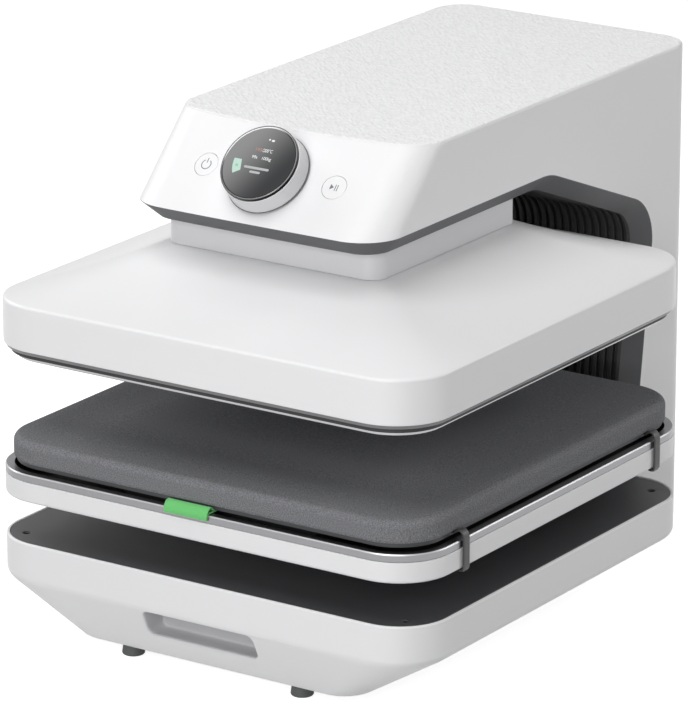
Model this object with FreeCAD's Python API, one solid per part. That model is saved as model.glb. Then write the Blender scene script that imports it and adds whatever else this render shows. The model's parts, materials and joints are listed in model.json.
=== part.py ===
import FreeCAD, Part
import math
import os
from FreeCAD import Vector

os.makedirs("parts", exist_ok=True)

# Driving dimensions, in millimetres. X is the width, -Y the front, +Z up.
# The origin lies on the ground under the middle of the machine.
# A pair holds two half sizes, across X and along Y.

# C-shaped body. The throat line runs along the edge of its opening, as Y and Z.
BODY_HALF = 116.4
BODY_REAR = 271.0
BODY_LOW = 8.5
HEAD_LOW = 348.3
HEAD_TOP = 410.1
HEAD_FRONT_LOW = -197.0
HEAD_FRONT_TOP = -139.0
LOW_BOW = 0.8
TOP_BOW = 8.0
HEAD_FRONT_R = 34.0
HEAD_TOP_R = 29.0
COLUMN_R = 28.0
TOP_FILLET = 2.5
WALL = 3.0
THROAT = [(36.5, HEAD_LOW), (50.0, HEAD_LOW), (212.0, 284.7), (185.8, 84.0), (136.5, 84.0)]
THROAT_R = [0, 60.0, 43.5, 26.0, 0]

# Dark trim and black grille of the throat
TRIM_DEPTH = 13.7
TRIM_SLOPE = 12.8
TRIM_EDGE = 0.6
TRIM_INNER = 100.5
TRIM_JOIN_Y = -100.0
RIB_PITCH = 7.2
RIB_WIDTH = 3.4
RIB_COUNT = 27

# Removable cover in the column's back
REAR_COVER_HALF = 86.5
REAR_COVER_Z = (24.5, 391.5)
COVER_SCREW_X = 83.3
COVER_SCREW_Z = (40.0, 208.0, 376.0)

# Steel frame inside the body
CHEEK_X = (104.0, 110.0)
CHEEK_Z = (18.0, 401.0)
CHEEK_REAR = 252.0
CROSS_BAR_R = 7.0
BOARD_BAR_Z = 350.0

# Working centre of the press, and its drive
PRESS_Y = -67.0
TOP_PLATE_Z = (391.0, 401.0)
LOW_PLATE_Z = (328.0, 336.0)
HANG_LOW = 246.0
SCREW_R = 8.0
SCREW_PITCH = 4.0
JOURNAL_R = 6.0
ROD_R = 6.0
ROD_X = 72.0
ROD_DY = 50.0
RUNNING_GAP = 0.05
GEAR_Z = (340.0, 350.0)
GEAR_MODULE = 1.25
GEAR_TEETH = 60
PINION_TEETH = 20
PINION_Y = PRESS_Y + GEAR_MODULE * (GEAR_TEETH + PINION_TEETH) / 2
MOTOR_R = 22.0
MOTOR_LOW = 354.0

# Neck, with the sleeve that telescopes inside it
NECK = (98.4, 100.5)
NECK_R = 14.0
NECK_Z = (311.0, 362.0)
NECK_WALL = 2.5
SLEEVE_Z = (314.0, 364.0)
SLEEVE_INSET = 3.0
SLEEVE_WALL = 2.0

# Heat platen, from its working face upwards
PLATE = (190.5, 194.5)
PLATE_R = 38.0
PLATE_LOW = 228.5
PLATE_TOP = 237.5
HEATER_TOP = 239.0
BOARD_TOP = 243.0
COVER = (200.0, 204.0)
COVER_R = 46.5
COVER_LOW = 239.0
COVER_EDGE = 275.0
COVER_WALL = 2.5
CARRIER = (95.0, 97.0)
CARRIER_Z = (298.0, 308.0)
NUT_FLANGE_Z = 314.0
NUT_R = 13.0
BUSH_R = 9.95

# Bed
TRAY = (200.9, 202.1)
TRAY_R = 44.5
TRAY_LOW = 116.0
TRAY_TOP = 132.8
FLOOR_TOP = 118.5
RIM_TOP = 139.0
RIM_CHAMFER = 1.2
ARM_HALF = 88.0
ARM_TOP = 131.0
RUNNER_X = 60.0
DECK = (192.4, 193.4)
DECK_R = 38.0
DECK_LOW = 141.2
DECK_TOP = 145.0
PAD = (194.7, 195.7)
PAD_R = 40.0
PAD_TOP = 165.0
CLIP_WIDTH = 8.0
CLIP_Y = (-204.0, 74.0)
TAB_X = (-27.0, 13.0)
TAB_THICK = 0.7
TAB_PATH = [(-250, 140.75), (-256, 140.75), (-260.6, 140.75), (-261.9, 142.0), (-262.6, 143.4), (-264.4, 144.2),
            (-266.9, 143.5), (-269.1, 141.4), (-270.4, 138.6), (-270.65, 135.8), (-270.2, 134.6), (-269.7, 135.6),
            (-269.65, 138.0), (-268.7, 139.6), (-265, 140.0), (-260, 139.8), (-250, 139.8)]

# Base
TUB = (200.5, 202.5)
TUB_Y = -66.0
TUB_R = 43.0
TUB_TOP = 82.0
TUB_CREASE = 50.5
BASE_PLATE_Z = (78.5, 81.5)
SCREW_X = 176.5
SCREW_Y = (-246.0, 111.0)
SINK_R = 3.4
SCREW_HEAD_R = 3.1
SCREW_HEAD_TOP = 80.4
GRIP_HALF = 52.0
GRIP_Z = (27.0, 49.5)
GRIP_BACK = -238.0
GRIP_WALL = 1.2
FOOT_X = 79.0
FOOT_Y = (-240.0, 225.0)

# Dial and buttons on the sloping front panel
PANEL_MIDDLE = 43.5
DIAL_R = 34.0
DIAL_TOP_R = 32.6
DIAL_BASE = 1.7
DIAL_TOP = 17.0
CORE_R = 29.0
GLASS_R = 30.0
GLASS_EDGE_R = 31.75
GLASS_CHAMFER_R = 30.3
BUTTON_X = 58.7
BUTTON_R = 10.0

# Electrics in the column
FAN_Z = 344.0
FAN_HALF = 30.0
INLET_X = -46.0
SWITCH_X = 26.0
SOCKET_Z = 54.0
SWITCH_PIVOT_Y = 262.0
SUPPLY_TOP = 293.5

UP = Vector(0, 0, 1)
BACK = Vector(0, 1, 0)
RIGHT = Vector(1, 0, 0)
SLOPE = Vector(0, HEAD_FRONT_TOP - HEAD_FRONT_LOW, HEAD_TOP - HEAD_LOW).normalize()
PANEL_OUT = Vector(0, -SLOPE.z, SLOPE.y)


# General shapes

def box(x0, x1, y0, y1, z0, z1):
    return Part.makeBox(x1 - x0, y1 - y0, z1 - z0, Vector(x0, y0, z0))


def cylinder(x, y, z0, z1, r):
    return Part.makeCylinder(r, z1 - z0, Vector(x, y, z0))


def tube(x, y, z0, z1, outer, inner):
    return cylinder(x, y, z0, z1, outer).cut(cylinder(x, y, z0, z1, inner))


def bar_along_x(y, z, r, x0, x1):
    return Part.makeCylinder(r, x1 - x0, Vector(x0, y, z), RIGHT)


def bar_along_y(x, z, r, y0, y1):
    return Part.makeCylinder(r, y1 - y0, Vector(x, y0, z), BACK)


def fuse(shapes):
    return shapes[0].multiFuse(shapes[1:]).removeSplitter()


def cut_all(shape, tools):
    for tool in tools:
        shape = shape.cut(tool)
    return shape


def shrink(half, d):
    return (half[0] - d, half[1] - d)


def round_edges_along_y(shape, r):
    return shape.makeFillet(r, [e for e in shape.Edges if abs(e.Vertexes[0].Y - e.Vertexes[-1].Y) > 1])


def plan_wire(hx, y0, y1, r_front, r_rear, z, bow=0.0):
    """Rounded rectangle at height z. Its front edge bulges forwards by bow."""
    corners = [(hx, y0, r_front, -90), (hx, y1, r_rear, 0), (-hx, y1, r_rear, 90), (-hx, y0, r_front, 180)]
    arcs = []
    for x, y, r, start in corners:
        cx = x - math.copysign(r, x)
        cy = y + r if y == y0 else y - r
        turn = [math.radians(start + a) for a in (0, 45, 90)]
        arcs.append([Vector(cx + r * math.cos(a), cy + r * math.sin(a), z) for a in turn])
    edges = []
    for i, arc in enumerate(arcs):
        following = arcs[(i + 1) % 4][0]
        edges.append(Part.Arc(*arc).toShape())
        if i == 3 and bow:
            edges.append(Part.Arc(arc[2], Vector(0, y0 - bow, z), following).toShape())
        else:
            edges.append(Part.LineSegment(arc[2], following).toShape())
    return Part.Wire(edges)


def round_wire(half, r, z):
    """Rounded rectangle about the press's working centre."""
    return plan_wire(half[0], PRESS_Y - half[1], PRESS_Y + half[1], r, r, z)


def loft(wires):
    return Part.makeLoft(wires, True, True)


def raise_wire(wire, height):
    return Part.Face(wire).extrude(UP * height)


def round_block(half, r, z0, z1):
    return raise_wire(round_wire(half, r, z0), z1 - z0)


def rounded_path(points, radii, x):
    """Edges of an open path in the plane at x, with an arc at each vertex that has a radius."""
    corners = [Vector(x, y, z) for y, z in points]
    edges = []
    start = corners[0]
    for i in range(1, len(corners) - 1):
        here = corners[i]
        first = last = here
        if radii[i] > 0:
            back = (corners[i - 1] - here).normalize()
            ahead = (corners[i + 1] - here).normalize()
            half_angle = back.getAngle(ahead) / 2
            reach = radii[i] / math.tan(half_angle)
            centre = here + (back + ahead).normalize() * (radii[i] / math.sin(half_angle))
            first = here + back * reach
            last = here + ahead * reach
        edges.append(Part.LineSegment(start, first).toShape())
        if radii[i] > 0:
            middle = centre + (here - centre).normalize() * radii[i]
            edges.append(Part.Arc(first, middle, last).toShape())
        start = last
    edges.append(Part.LineSegment(start, corners[-1]).toShape())
    return edges


def side_block(points, radii, x0, x1):
    """Closed side profile, its first point sharp, carried along X."""
    wire = Part.Wire(rounded_path(points + [points[0]], radii + [0], x0))
    return Part.Face(wire).extrude(RIGHT * (x1 - x0))


def offset_points(points, d):
    """Open polyline moved to its right by d, each vertex at the meeting of its moved runs."""
    runs = []
    for (y0, z0), (y1, z1) in zip(points, points[1:]):
        length = math.hypot(y1 - y0, z1 - z0)
        dy, dz = (y1 - y0) / length, (z1 - z0) / length
        runs.append((y0 + dz * d, z0 - dy * d, dy, dz))
    result = [runs[0][:2]]
    for (ay, az, ady, adz), (by, bz, bdy, bdz) in zip(runs, runs[1:]):
        t = ((by - ay) * bdz - (bz - az) * bdy) / (ady * bdz - adz * bdy)
        result.append((ay + ady * t, az + adz * t))
    dy, dz = runs[-1][2:]
    result.append((points[-1][0] + dz * d, points[-1][1] - dy * d))
    return result


def throat_band(near, far, x, start_y=THROAT[0][0]):
    """Closed wire between two offsets of the throat line, both measured into the throat."""
    line = [(start_y, HEAD_LOW)] + THROAT[1:]
    sides = []
    for d in (near, far):
        radii = [max(r - d, 0) for r in THROAT_R]
        sides.append(rounded_path(offset_points(line, d), radii, x))
    starts = [side[0].Vertexes[0].Point for side in sides]
    ends = [side[-1].Vertexes[-1].Point for side in sides]
    end_cap = Part.LineSegment(ends[0], ends[1]).toShape()
    start_cap = Part.LineSegment(starts[1], starts[0]).toShape()
    return Part.Wire(sides[0] + [end_cap] + sides[1][::-1] + [start_cap])


def panel_point(x, up, out):
    """Point on the sloping front panel: x across, up the slope, out of the face."""
    return Vector(x, HEAD_FRONT_LOW, HEAD_LOW) + SLOPE * up + PANEL_OUT * out


def panel_cylinder(x, out0, out1, r):
    """Disc on the panel's middle line, from depth out0 to out1."""
    return Part.makeCylinder(r, out1 - out0, panel_point(x, PANEL_MIDDLE, out0), PANEL_OUT)


def panel_cone(x, out0, out1, r0, r1):
    return Part.makeCone(r0, r1, out1 - out0, panel_point(x, PANEL_MIDDLE, out0), PANEL_OUT)


def panel_box(half, up0, up1, out0, out1):
    corners = [(-half, up0), (half, up0), (half, up1), (-half, up1), (-half, up0)]
    face = Part.Face(Part.makePolygon([panel_point(x, up, out0) for x, up in corners]))
    return face.extrude(PANEL_OUT * (out1 - out0))


# C-shaped body

def head_wire(z, inset):
    """Outline of the head at height z. The front leans back and grows more bowed with height."""
    rise = (z - HEAD_LOW) / (HEAD_TOP - HEAD_LOW)
    bow = LOW_BOW + rise * (TOP_BOW - LOW_BOW)
    front = HEAD_FRONT_LOW + rise * (HEAD_FRONT_TOP - HEAD_FRONT_LOW) + inset / SLOPE.z
    r = HEAD_FRONT_R + rise * (HEAD_TOP_R - HEAD_FRONT_R) - inset
    return plan_wire(BODY_HALF - inset, front + bow, BODY_REAR - inset, r, COLUMN_R - inset, z, bow)


def head_solid():
    return loft([head_wire(HEAD_LOW, 0), head_wire(HEAD_TOP, 0)])


def head_hollow():
    return loft([head_wire(HEAD_LOW - 10, WALL), head_wire(HEAD_TOP - WALL, WALL)])


def cover_screw_places():
    return [(x, z) for x in (-COVER_SCREW_X, COVER_SCREW_X) for z in COVER_SCREW_Z]


def body_shell():
    """One moulding: sloping head, straight column, open towards the throat and the base."""
    head = head_solid()
    head = head.makeFillet(TOP_FILLET, [e for e in head.Edges if min(v.Z for v in e.Vertexes) > HEAD_TOP - 1])
    overlap = HEAD_LOW + 20
    side = THROAT + [(THROAT[-1][0], BODY_LOW), (BODY_REAR, BODY_LOW), (BODY_REAR, overlap), (THROAT[0][0], overlap)]
    column = side_block(side, THROAT_R + [0, 4, 0, 0], -BODY_HALF, BODY_HALF)
    column = column.common(raise_wire(plan_wire(BODY_HALF, 0, BODY_REAR, 5, COLUMN_R, 0), HEAD_TOP))
    shell = fuse([head, column])
    inner = plan_wire(BODY_HALF - WALL, 30, BODY_REAR - WALL, 1, COLUMN_R - WALL, BODY_LOW + WALL)
    shell = cut_all(shell, [head_hollow(), raise_wire(inner, HEAD_LOW - BODY_LOW)])
    ledge = box(-90, 90, 265, BODY_REAR - 1, 15, 400).cut(box(-80, 80, 260, 275, 30, 386))
    shell = fuse([shell, ledge.common(raise_wire(plan_wire(BODY_HALF, 0, BODY_REAR, 5, COLUMN_R, 0), HEAD_TOP))])
    gap = REAR_COVER_HALF + 0.5
    low, high = REAR_COVER_Z
    holes = [box(-gap, gap, BODY_REAR - WALL, BODY_REAR + 2, low - 0.5, high + 0.5)]
    holes += [bar_along_y(x, z, 1.55, 260, 270) for x, z in cover_screw_places()]
    holes += [panel_cylinder(0, -8, 4, BUTTON_R + 0.5)]
    holes += [panel_cylinder(x, -8, 4, BUTTON_R + 0.3) for x in (-BUTTON_X, BUTTON_X)]
    return cut_all(shell, holes)


def throat_trim():
    """Dark chamfer strip round the underside of the head and along both sides of the throat."""
    narrow = BODY_HALF - TRIM_SLOPE
    pieces = []
    for sign in (-1, 1):
        flat = Part.Face(throat_band(0, TRIM_DEPTH, sign * TRIM_INNER, TRIM_JOIN_Y))
        pieces.append(flat.extrude(RIGHT * sign * (narrow - TRIM_INNER)))
        pieces.append(loft([throat_band(0, TRIM_DEPTH, sign * narrow, TRIM_JOIN_Y),
                            throat_band(0, TRIM_EDGE, sign * BODY_HALF, TRIM_JOIN_Y)]))
    top = head_wire(HEAD_LOW, 0)
    front = HEAD_FRONT_LOW + LOW_BOW
    edge = plan_wire(BODY_HALF, front, BODY_REAR, HEAD_FRONT_R, COLUMN_R, HEAD_LOW - TRIM_EDGE, LOW_BOW)
    low = plan_wire(narrow, front + TRIM_SLOPE + 3.5, BODY_REAR, HEAD_FRONT_R - TRIM_SLOPE, COLUMN_R,
                    HEAD_LOW - TRIM_DEPTH, LOW_BOW)
    nose = fuse([loft([low, edge]), loft([edge, top])])
    nose = nose.cut(raise_wire(plan_wire(TRIM_INNER, -170, 80, 17, 5, 300), 60))
    nose = nose.common(box(-120, 120, -200, TRIM_JOIN_Y, 300, 360))
    return fuse([nose] + pieces)


def throat_grille():
    """Black ribbed panel that closes the throat, with a window for the bed's arm."""
    half = TRIM_INNER - 0.2
    pieces = [Part.Face(throat_band(6, 9, -half)).extrude(RIGHT * 2 * half)]
    for i in range(RIB_COUNT):
        x = (i - (RIB_COUNT - 1) / 2) * RIB_PITCH - RIB_WIDTH / 2
        pieces.append(Part.Face(throat_band(8.5, 12.7, x)).extrude(RIGHT * RIB_WIDTH))
    window = box(-ARM_HALF - 2, ARM_HALF + 2, 150, 220, FLOOR_TOP - 2, ARM_TOP + 2)
    return fuse(pieces).cut(window)


def rear_cover():
    low, high = REAR_COVER_Z
    panel = round_edges_along_y(box(-REAR_COVER_HALF, REAR_COVER_HALF, BODY_REAR - WALL, BODY_REAR, low, high), 6)
    slot_half, slot_height, slot_pitch = 36, 3, 6.5
    holes = []
    for first, count in ((FAN_Z - 26, 9), (150, 7)):
        for row in range(count):
            z = first + row * slot_pitch
            holes.append(box(-slot_half, slot_half, 260, 275, z, z + slot_height))
    holes.append(box(INLET_X - 26, INLET_X + 26, 260, 275, SOCKET_Z - 14, SOCKET_Z + 14))
    holes.append(box(SWITCH_X - 20, SWITCH_X + 20, 260, 275, SOCKET_Z - 14, SOCKET_Z + 14))
    for x, z in cover_screw_places():
        holes.append(bar_along_y(x, z, 1.8, 260, 275))
        holes.append(bar_along_y(x, z, 3.1, BODY_REAR - 1.6, 275))
    return cut_all(panel, holes)


def cover_screws():
    screws = []
    for x, z in cover_screw_places():
        head = bar_along_y(x, z, 3.0, BODY_REAR - 1.6, BODY_REAR - 0.2)
        head = head.cut(bar_along_y(x, z, 1.2, BODY_REAR - 1.1, BODY_REAR))
        screws.append(fuse([head, bar_along_y(x, z, 1.5, 262, BODY_REAR - 1.6)]))
    return screws


# Frame

def frame_cheek(side):
    """C-shaped steel side plate: upper arm, column and the arm that lies in the base."""
    clear = offset_points(THROAT, -3.5)
    low, high = CHEEK_Z
    arm_top = 74
    points = [(-118, clear[0][1]), clear[1], clear[2], (clear[3][0], arm_top), (-225, arm_top), (-232, 66),
              (-232, low), (CHEEK_REAR, low), (CHEEK_REAR, high), (-108, high)]
    radii = [0, 63, 47, 20, 0, 0, 0, 8, 8, 0]
    x0, x1 = sorted((side * CHEEK_X[0], side * CHEEK_X[1]))
    return side_block(points, radii, x0, x1)


def frame_cross_bars():
    places = [(245, 104), (247, 301), (244, 386), (90, BOARD_BAR_Z), (190, BOARD_BAR_Z), (-215, 40), (-60, 40),
              (90, 40), (240, 32)]
    return [bar_along_x(y, z, CROSS_BAR_R, -CHEEK_X[0], CHEEK_X[0]) for y, z in places]


def press_top_plate():
    plate = box(-CHEEK_X[0], CHEEK_X[0], -115, 45, *TOP_PLATE_Z)
    holes = [cylinder(0, PRESS_Y, 380, 410, 12.2)]
    holes += [cylinder(x, y, 380, 410, ROD_R + RUNNING_GAP) for x, y in rod_places()]
    return cut_all(plate, holes)


# Drive

def rod_places():
    return [(x, PRESS_Y + dy) for x in (-ROD_X, ROD_X) for dy in (-ROD_DY, ROD_DY)]


def drive_lower_plate():
    plate = round_block((ARM_HALF, 90), 8, *LOW_PLATE_Z)
    holes = [cylinder(0, PRESS_Y, 320, 340, 13.2)]
    holes += [cylinder(x, y, 320, 340, ROD_R + RUNNING_GAP) for x, y in rod_places()]
    return cut_all(plate, holes)


def drive_posts():
    places = [(x, PRESS_Y + dy) for x in (-50, 50) for dy in (-42, 60)]
    return [cylinder(x, y, LOW_PLATE_Z[1], TOP_PLATE_Z[0], 5) for x, y in places]


def guide_rods():
    return [cylinder(x, y, HANG_LOW, TOP_PLATE_Z[1], ROD_R) for x, y in rod_places()]


def screw_bearings():
    inner = JOURNAL_R + RUNNING_GAP
    return [tube(0, PRESS_Y, *LOW_PLATE_Z, 13.2, inner), tube(0, PRESS_Y, *TOP_PLATE_Z, 12.2, inner)]


def lead_screw():
    """Turned bar with thread ridges below and a plain journal above."""
    depth = 1.0
    shoulder = LOW_PLATE_Z[0] - 0.5
    top = TOP_PLATE_Z[1] - 1
    outline = [Vector(0, 0, HANG_LOW)]
    turns = int((shoulder - HANG_LOW) / SCREW_PITCH)
    for i in range(turns):
        z = HANG_LOW + i * SCREW_PITCH
        flank = [(SCREW_R - depth, 0), (SCREW_R, 1), (SCREW_R, 2.6), (SCREW_R - depth, 3.6)]
        outline += [Vector(r, 0, z + dz) for r, dz in flank]
    outline += [Vector(SCREW_R, 0, shoulder - 1), Vector(SCREW_R, 0, shoulder), Vector(JOURNAL_R, 0, shoulder),
                Vector(JOURNAL_R, 0, top), Vector(0, 0, top), outline[0]]
    screw = Part.Face(Part.makePolygon(outline)).revolve(Vector(0, 0, 0), UP, 360)
    screw.translate(Vector(0, PRESS_Y, 0))
    return screw


def gear(teeth, bore, first_tooth):
    """Spur gear. Each tooth narrows from root to tip; its width is a share of the pitch."""
    pitch_r = GEAR_MODULE * teeth / 2
    stations = [(pitch_r - 1.25 * GEAR_MODULE, 0.40), (pitch_r, 0.245), (pitch_r + 0.9 * GEAR_MODULE, 0.115)]
    step = 2 * math.pi / teeth
    outline = []
    for i in range(teeth):
        middle = first_tooth + i * step
        flank = [(r, -share) for r, share in stations] + [(r, share) for r, share in reversed(stations)]
        for r, share in flank:
            a = middle + share * step
            outline.append(Vector(r * math.cos(a), r * math.sin(a), GEAR_Z[0]))
    wheel = Part.Face(Part.makePolygon(outline + [outline[0]])).extrude(UP * (GEAR_Z[1] - GEAR_Z[0]))
    return wheel.cut(cylinder(0, 0, 330, 360, bore))


def screw_gear():
    bore = JOURNAL_R + 0.02
    wheel = gear(GEAR_TEETH, bore, math.pi / 2)
    sixths = [math.radians(60 * i) for i in range(6)]
    wheel = cut_all(wheel, [cylinder(23 * math.cos(a), 23 * math.sin(a), 330, 360, 7) for a in sixths])
    wheel = fuse([wheel, tube(0, 0, LOW_PLATE_Z[1] + 1, GEAR_Z[0], 12, bore)])
    wheel.translate(Vector(0, PRESS_Y, 0))
    return wheel


def motor_pinion():
    half_tooth = math.pi / PINION_TEETH
    wheel = gear(PINION_TEETH, 2, half_tooth - math.pi / 2)
    wheel = fuse([wheel, cylinder(0, 0, GEAR_Z[0] - 1, MOTOR_LOW + 6, 4)])
    wheel.translate(Vector(0, PINION_Y, 0))
    return wheel


def gear_motor():
    can = cylinder(0, PINION_Y, MOTOR_LOW, TOP_PLATE_Z[0], MOTOR_R)
    lug = box(-30, 30, PINION_Y - 8, PINION_Y + 8, TOP_PLATE_Z[0] - 5, TOP_PLATE_Z[0])
    return fuse([can, lug]).cut(cylinder(0, PINION_Y, 350, MOTOR_LOW + 7, 4 + RUNNING_GAP))


def lead_nut():
    body = cylinder(0, PRESS_Y, 292, 326, NUT_R)
    flange = cylinder(0, PRESS_Y, NUT_FLANGE_Z, NUT_FLANGE_Z + 5, 22)
    return fuse([body, flange]).cut(cylinder(0, PRESS_Y, 290, 330, SCREW_R + RUNNING_GAP))


def load_cell():
    return tube(0, PRESS_Y, CARRIER_Z[1], NUT_FLANGE_Z, 22, NUT_R + 0.4)


def guide_bushes():
    bushes = []
    for x, y in rod_places():
        sleeve = fuse([cylinder(x, y, 290, 326, BUSH_R), cylinder(x, y, CARRIER_Z[1], 312, 14)])
        bushes.append(sleeve.cut(cylinder(x, y, 280, 330, ROD_R + RUNNING_GAP)))
    return bushes


def carrier_plate():
    plate = round_block(CARRIER, 12, *CARRIER_Z)
    holes = [cylinder(0, PRESS_Y, 290, 320, NUT_R + 0.4)]
    holes += [cylinder(x, y, 290, 320, BUSH_R + RUNNING_GAP) for x, y in rod_places()]
    return cut_all(plate, holes)


def neck_shroud():
    outer = round_block(NECK, NECK_R, *NECK_Z)
    return outer.cut(round_block(shrink(NECK, NECK_WALL), NECK_R - NECK_WALL, 300, 370))


def neck_sleeve():
    half = shrink(NECK, SLEEVE_INSET)
    r = NECK_R - SLEEVE_INSET
    return round_block(half, r, *SLEEVE_Z).cut(round_block(shrink(half, SLEEVE_WALL), r - SLEEVE_WALL, 300, 370))


# Heat platen

def crown_wires(inset, drop):
    """Outlines of the cover's crown, rising from its edge to the foot of the neck."""
    edge_inset, foot = 1.2, 2.0
    wires = []
    for s in (0.0, 0.2, 0.4, 0.6, 0.8, 1.0):
        hx, hy = (edge - edge_inset + s * (neck + foot - edge + edge_inset) for edge, neck in zip(COVER, NECK))
        r = COVER_R - edge_inset + s * (NECK_R + foot - COVER_R + edge_inset)
        rise = (NECK_Z[0] - COVER_EDGE) * (0.75 * s + 0.25 * s * s)
        wires.append(round_wire((hx - inset, hy - inset), r - inset, COVER_EDGE + rise - drop))
    return wires


def platen_cover():
    skirt = [round_wire(COVER, COVER_R, COVER_LOW), round_wire(COVER, COVER_R, COVER_EDGE - 1.6)]
    outer = loft(skirt + crown_wires(0, 0))
    half = shrink(COVER, COVER_WALL)
    r = COVER_R - COVER_WALL
    inside = [round_wire(half, r, COVER_LOW - 1), round_wire(half, r, COVER_EDGE - 5)]
    cover = outer.cut(loft(inside + crown_wires(COVER_WALL, 3)))
    return cover.cut(round_block((92, 94), 11, 290, 330))


def platen_trim_ring():
    """Grey ring under the cover's edge, with a lip that locates inside it."""
    lower = loft([round_wire(shrink(COVER, 2.4), COVER_R - 2.4, COVER_LOW - 3.1),
                  round_wire(shrink(COVER, 0.6), COVER_R - 0.6, COVER_LOW)])
    lip = round_block(shrink(COVER, 2.8), COVER_R - 2.8, COVER_LOW, COVER_LOW + 5)
    return fuse([lower, lip]).cut(round_block(shrink(COVER, 5.7), COVER_R - 5.7, 230, 250))


def plate_gasket():
    outer = round_block(shrink(COVER, 5.9), COVER_R - 5.9, 232, BOARD_TOP)
    return outer.cut(round_block(shrink(PLATE, -0.3), PLATE_R + 0.3, 230, 250))


def heat_plate():
    chamfer = 1.2
    return loft([round_wire(shrink(PLATE, chamfer), PLATE_R - chamfer, PLATE_LOW),
                 round_wire(PLATE, PLATE_R, PLATE_LOW + chamfer), round_wire(PLATE, PLATE_R, PLATE_TOP)])


def standoff_places():
    return [(sx * d, PRESS_Y + sy * d) for d in (42, 86) for sx in (-1, 1) for sy in (-1, 1)]


def sensor_places():
    return [(-130, PRESS_Y), (130, PRESS_Y)]


def heater_element():
    """Mica sheet heater, slotted from alternate sides so that its track winds to and fro."""
    half = shrink(PLATE, 9.5)
    sheet = round_block(half, 30, PLATE_TOP, HEATER_TOP)
    slots = []
    for i in range(-8, 9):
        y = PRESS_Y + i * 20 - 2
        x0 = -200 if i % 2 else -150
        slots.append(box(x0, x0 + 350, y, y + 4, 230, 245))
    slots += [cylinder(x, y, 230, 245, 6) for x, y in standoff_places()]
    slots += [cylinder(x, y, 230, 245, 9) for x, y in sensor_places()]
    return cut_all(sheet, slots)


def insulation_board():
    board = round_block(shrink(PLATE, 2.5), PLATE_R - 2.5, HEATER_TOP, BOARD_TOP)
    holes = [cylinder(x, y, 230, 250, 5.5) for x, y in standoff_places()]
    holes += [cylinder(x, y, 230, 250, 9) for x, y in sensor_places()]
    return cut_all(board, holes)


def platen_standoffs():
    return [cylinder(x, y, PLATE_TOP, CARRIER_Z[0], 5) for x, y in standoff_places()]


def platen_sensors():
    """Overheat cut-out and temperature probe, each a can with a flat terminal."""
    cans = []
    for x, y in sensor_places():
        cans.append(fuse([cylinder(x, y, PLATE_TOP, 249, 8), box(x - 5, x + 5, y - 1, y + 1, 248, 254)]))
    return cans


# Bed

def bed_arm():
    """Steel plate that carries the bed, welded to a block between the frame's cheeks."""
    plate = box(-ARM_HALF, ARM_HALF, -235, 210, FLOOR_TOP, ARM_TOP)
    block = box(-CHEEK_X[0], CHEEK_X[0], 200, 228, 100, 152)
    return fuse([plate, block])


def bed_tray():
    edge = 1.5
    outer = loft([round_wire(shrink(TRAY, edge), TRAY_R - edge, TRAY_LOW), round_wire(TRAY, TRAY_R, TRAY_LOW + edge),
                  round_wire(TRAY, TRAY_R, TRAY_TOP)])
    tray = outer.cut(round_block(shrink(TRAY, WALL), TRAY_R - WALL, FLOOR_TOP, 150))
    slot = ARM_HALF + 0.5
    return tray.cut(box(-slot, slot, 120, 140, FLOOR_TOP, 150))


def tray_rim():
    outer = loft([round_wire(TRAY, TRAY_R, TRAY_TOP), round_wire(TRAY, TRAY_R, RIM_TOP - RIM_CHAMFER),
                  round_wire(shrink(TRAY, RIM_CHAMFER), TRAY_R - RIM_CHAMFER, RIM_TOP)])
    return outer.cut(round_block(shrink(TRAY, 4.4), TRAY_R - 4.4, 120, 150))


def deck_runners():
    return [box(x - 10, x + 10, -230, 125, ARM_TOP, DECK_LOW - 0.2) for x in (-RUNNER_X, RUNNER_X)]


def deck_plate():
    return round_block(DECK, DECK_R, DECK_LOW, DECK_TOP)


def press_pad():
    """Foam pad: upright sides drawn in at the foot, a round shoulder and a crown. Inset and height pairs."""
    sections = [(1.2, DECK_TOP), (0, 146.5), (0, 156.5), (0.9, 159.3), (3.2, 161.4), (7.5, 162.6), (30, 163.6),
                (80, 164.6), (130, PAD_TOP)]
    return loft([round_wire(shrink(PAD, d), max(PAD_R - d, 14), z) for d, z in sections])


def deck_clips():
    """Sprung hooks from the deck's edge, over the rim and under the tray."""
    outline = [(DECK[0], 144.5), (195.1, 144.5), (197, 147.2), (201, 146.2), (203.6, 141), (203.6, 113.2),
               (197, 113.2), (197, 115), (201.6, 115), (201.6, 140.5), (199.8, 143.2), (197.6, 143.6),
               (196, 142), (DECK[0], 142)]
    clips = []
    for side in (-1, 1):
        for y in CLIP_Y:
            ring = [Vector(side * x, y - CLIP_WIDTH / 2, z) for x, z in outline + outline[:1]]
            clips.append(Part.Face(Part.makePolygon(ring)).extrude(BACK * CLIP_WIDTH))
    return clips


def pull_tab():
    """Ribbon loop, both ends under the deck, that bulges over the rim. Its section is half the thickness
    to either side of the path, measured square to the line between each point's neighbours."""
    upper, lower = [], []
    last = len(TAB_PATH) - 1
    for i, (y, z) in enumerate(TAB_PATH):
        before, after = TAB_PATH[max(i - 1, 0)], TAB_PATH[min(i + 1, last)]
        run, rise = after[0] - before[0], after[1] - before[1]
        half = TAB_THICK / 2 / math.hypot(run, rise)
        upper.append(Vector(TAB_X[0], y + rise * half, z - run * half))
        lower.append(Vector(TAB_X[0], y - rise * half, z + run * half))
    ring = upper + lower[::-1] + upper[:1]
    return Part.Face(Part.makePolygon(ring)).extrude(RIGHT * (TAB_X[1] - TAB_X[0]))


# Base

def tub_wire(inset, z, share):
    """Outline of the tub: share 0 at the crease and above, 1 at the floor."""
    hx = TUB[0] - share * 69.5 - inset
    front = TUB_Y - TUB[1] + share * 19.5 + inset
    r = TUB_R - share * 19 - inset
    return plan_wire(hx, front, TUB_Y + TUB[1] - inset, r, r, z)


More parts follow.
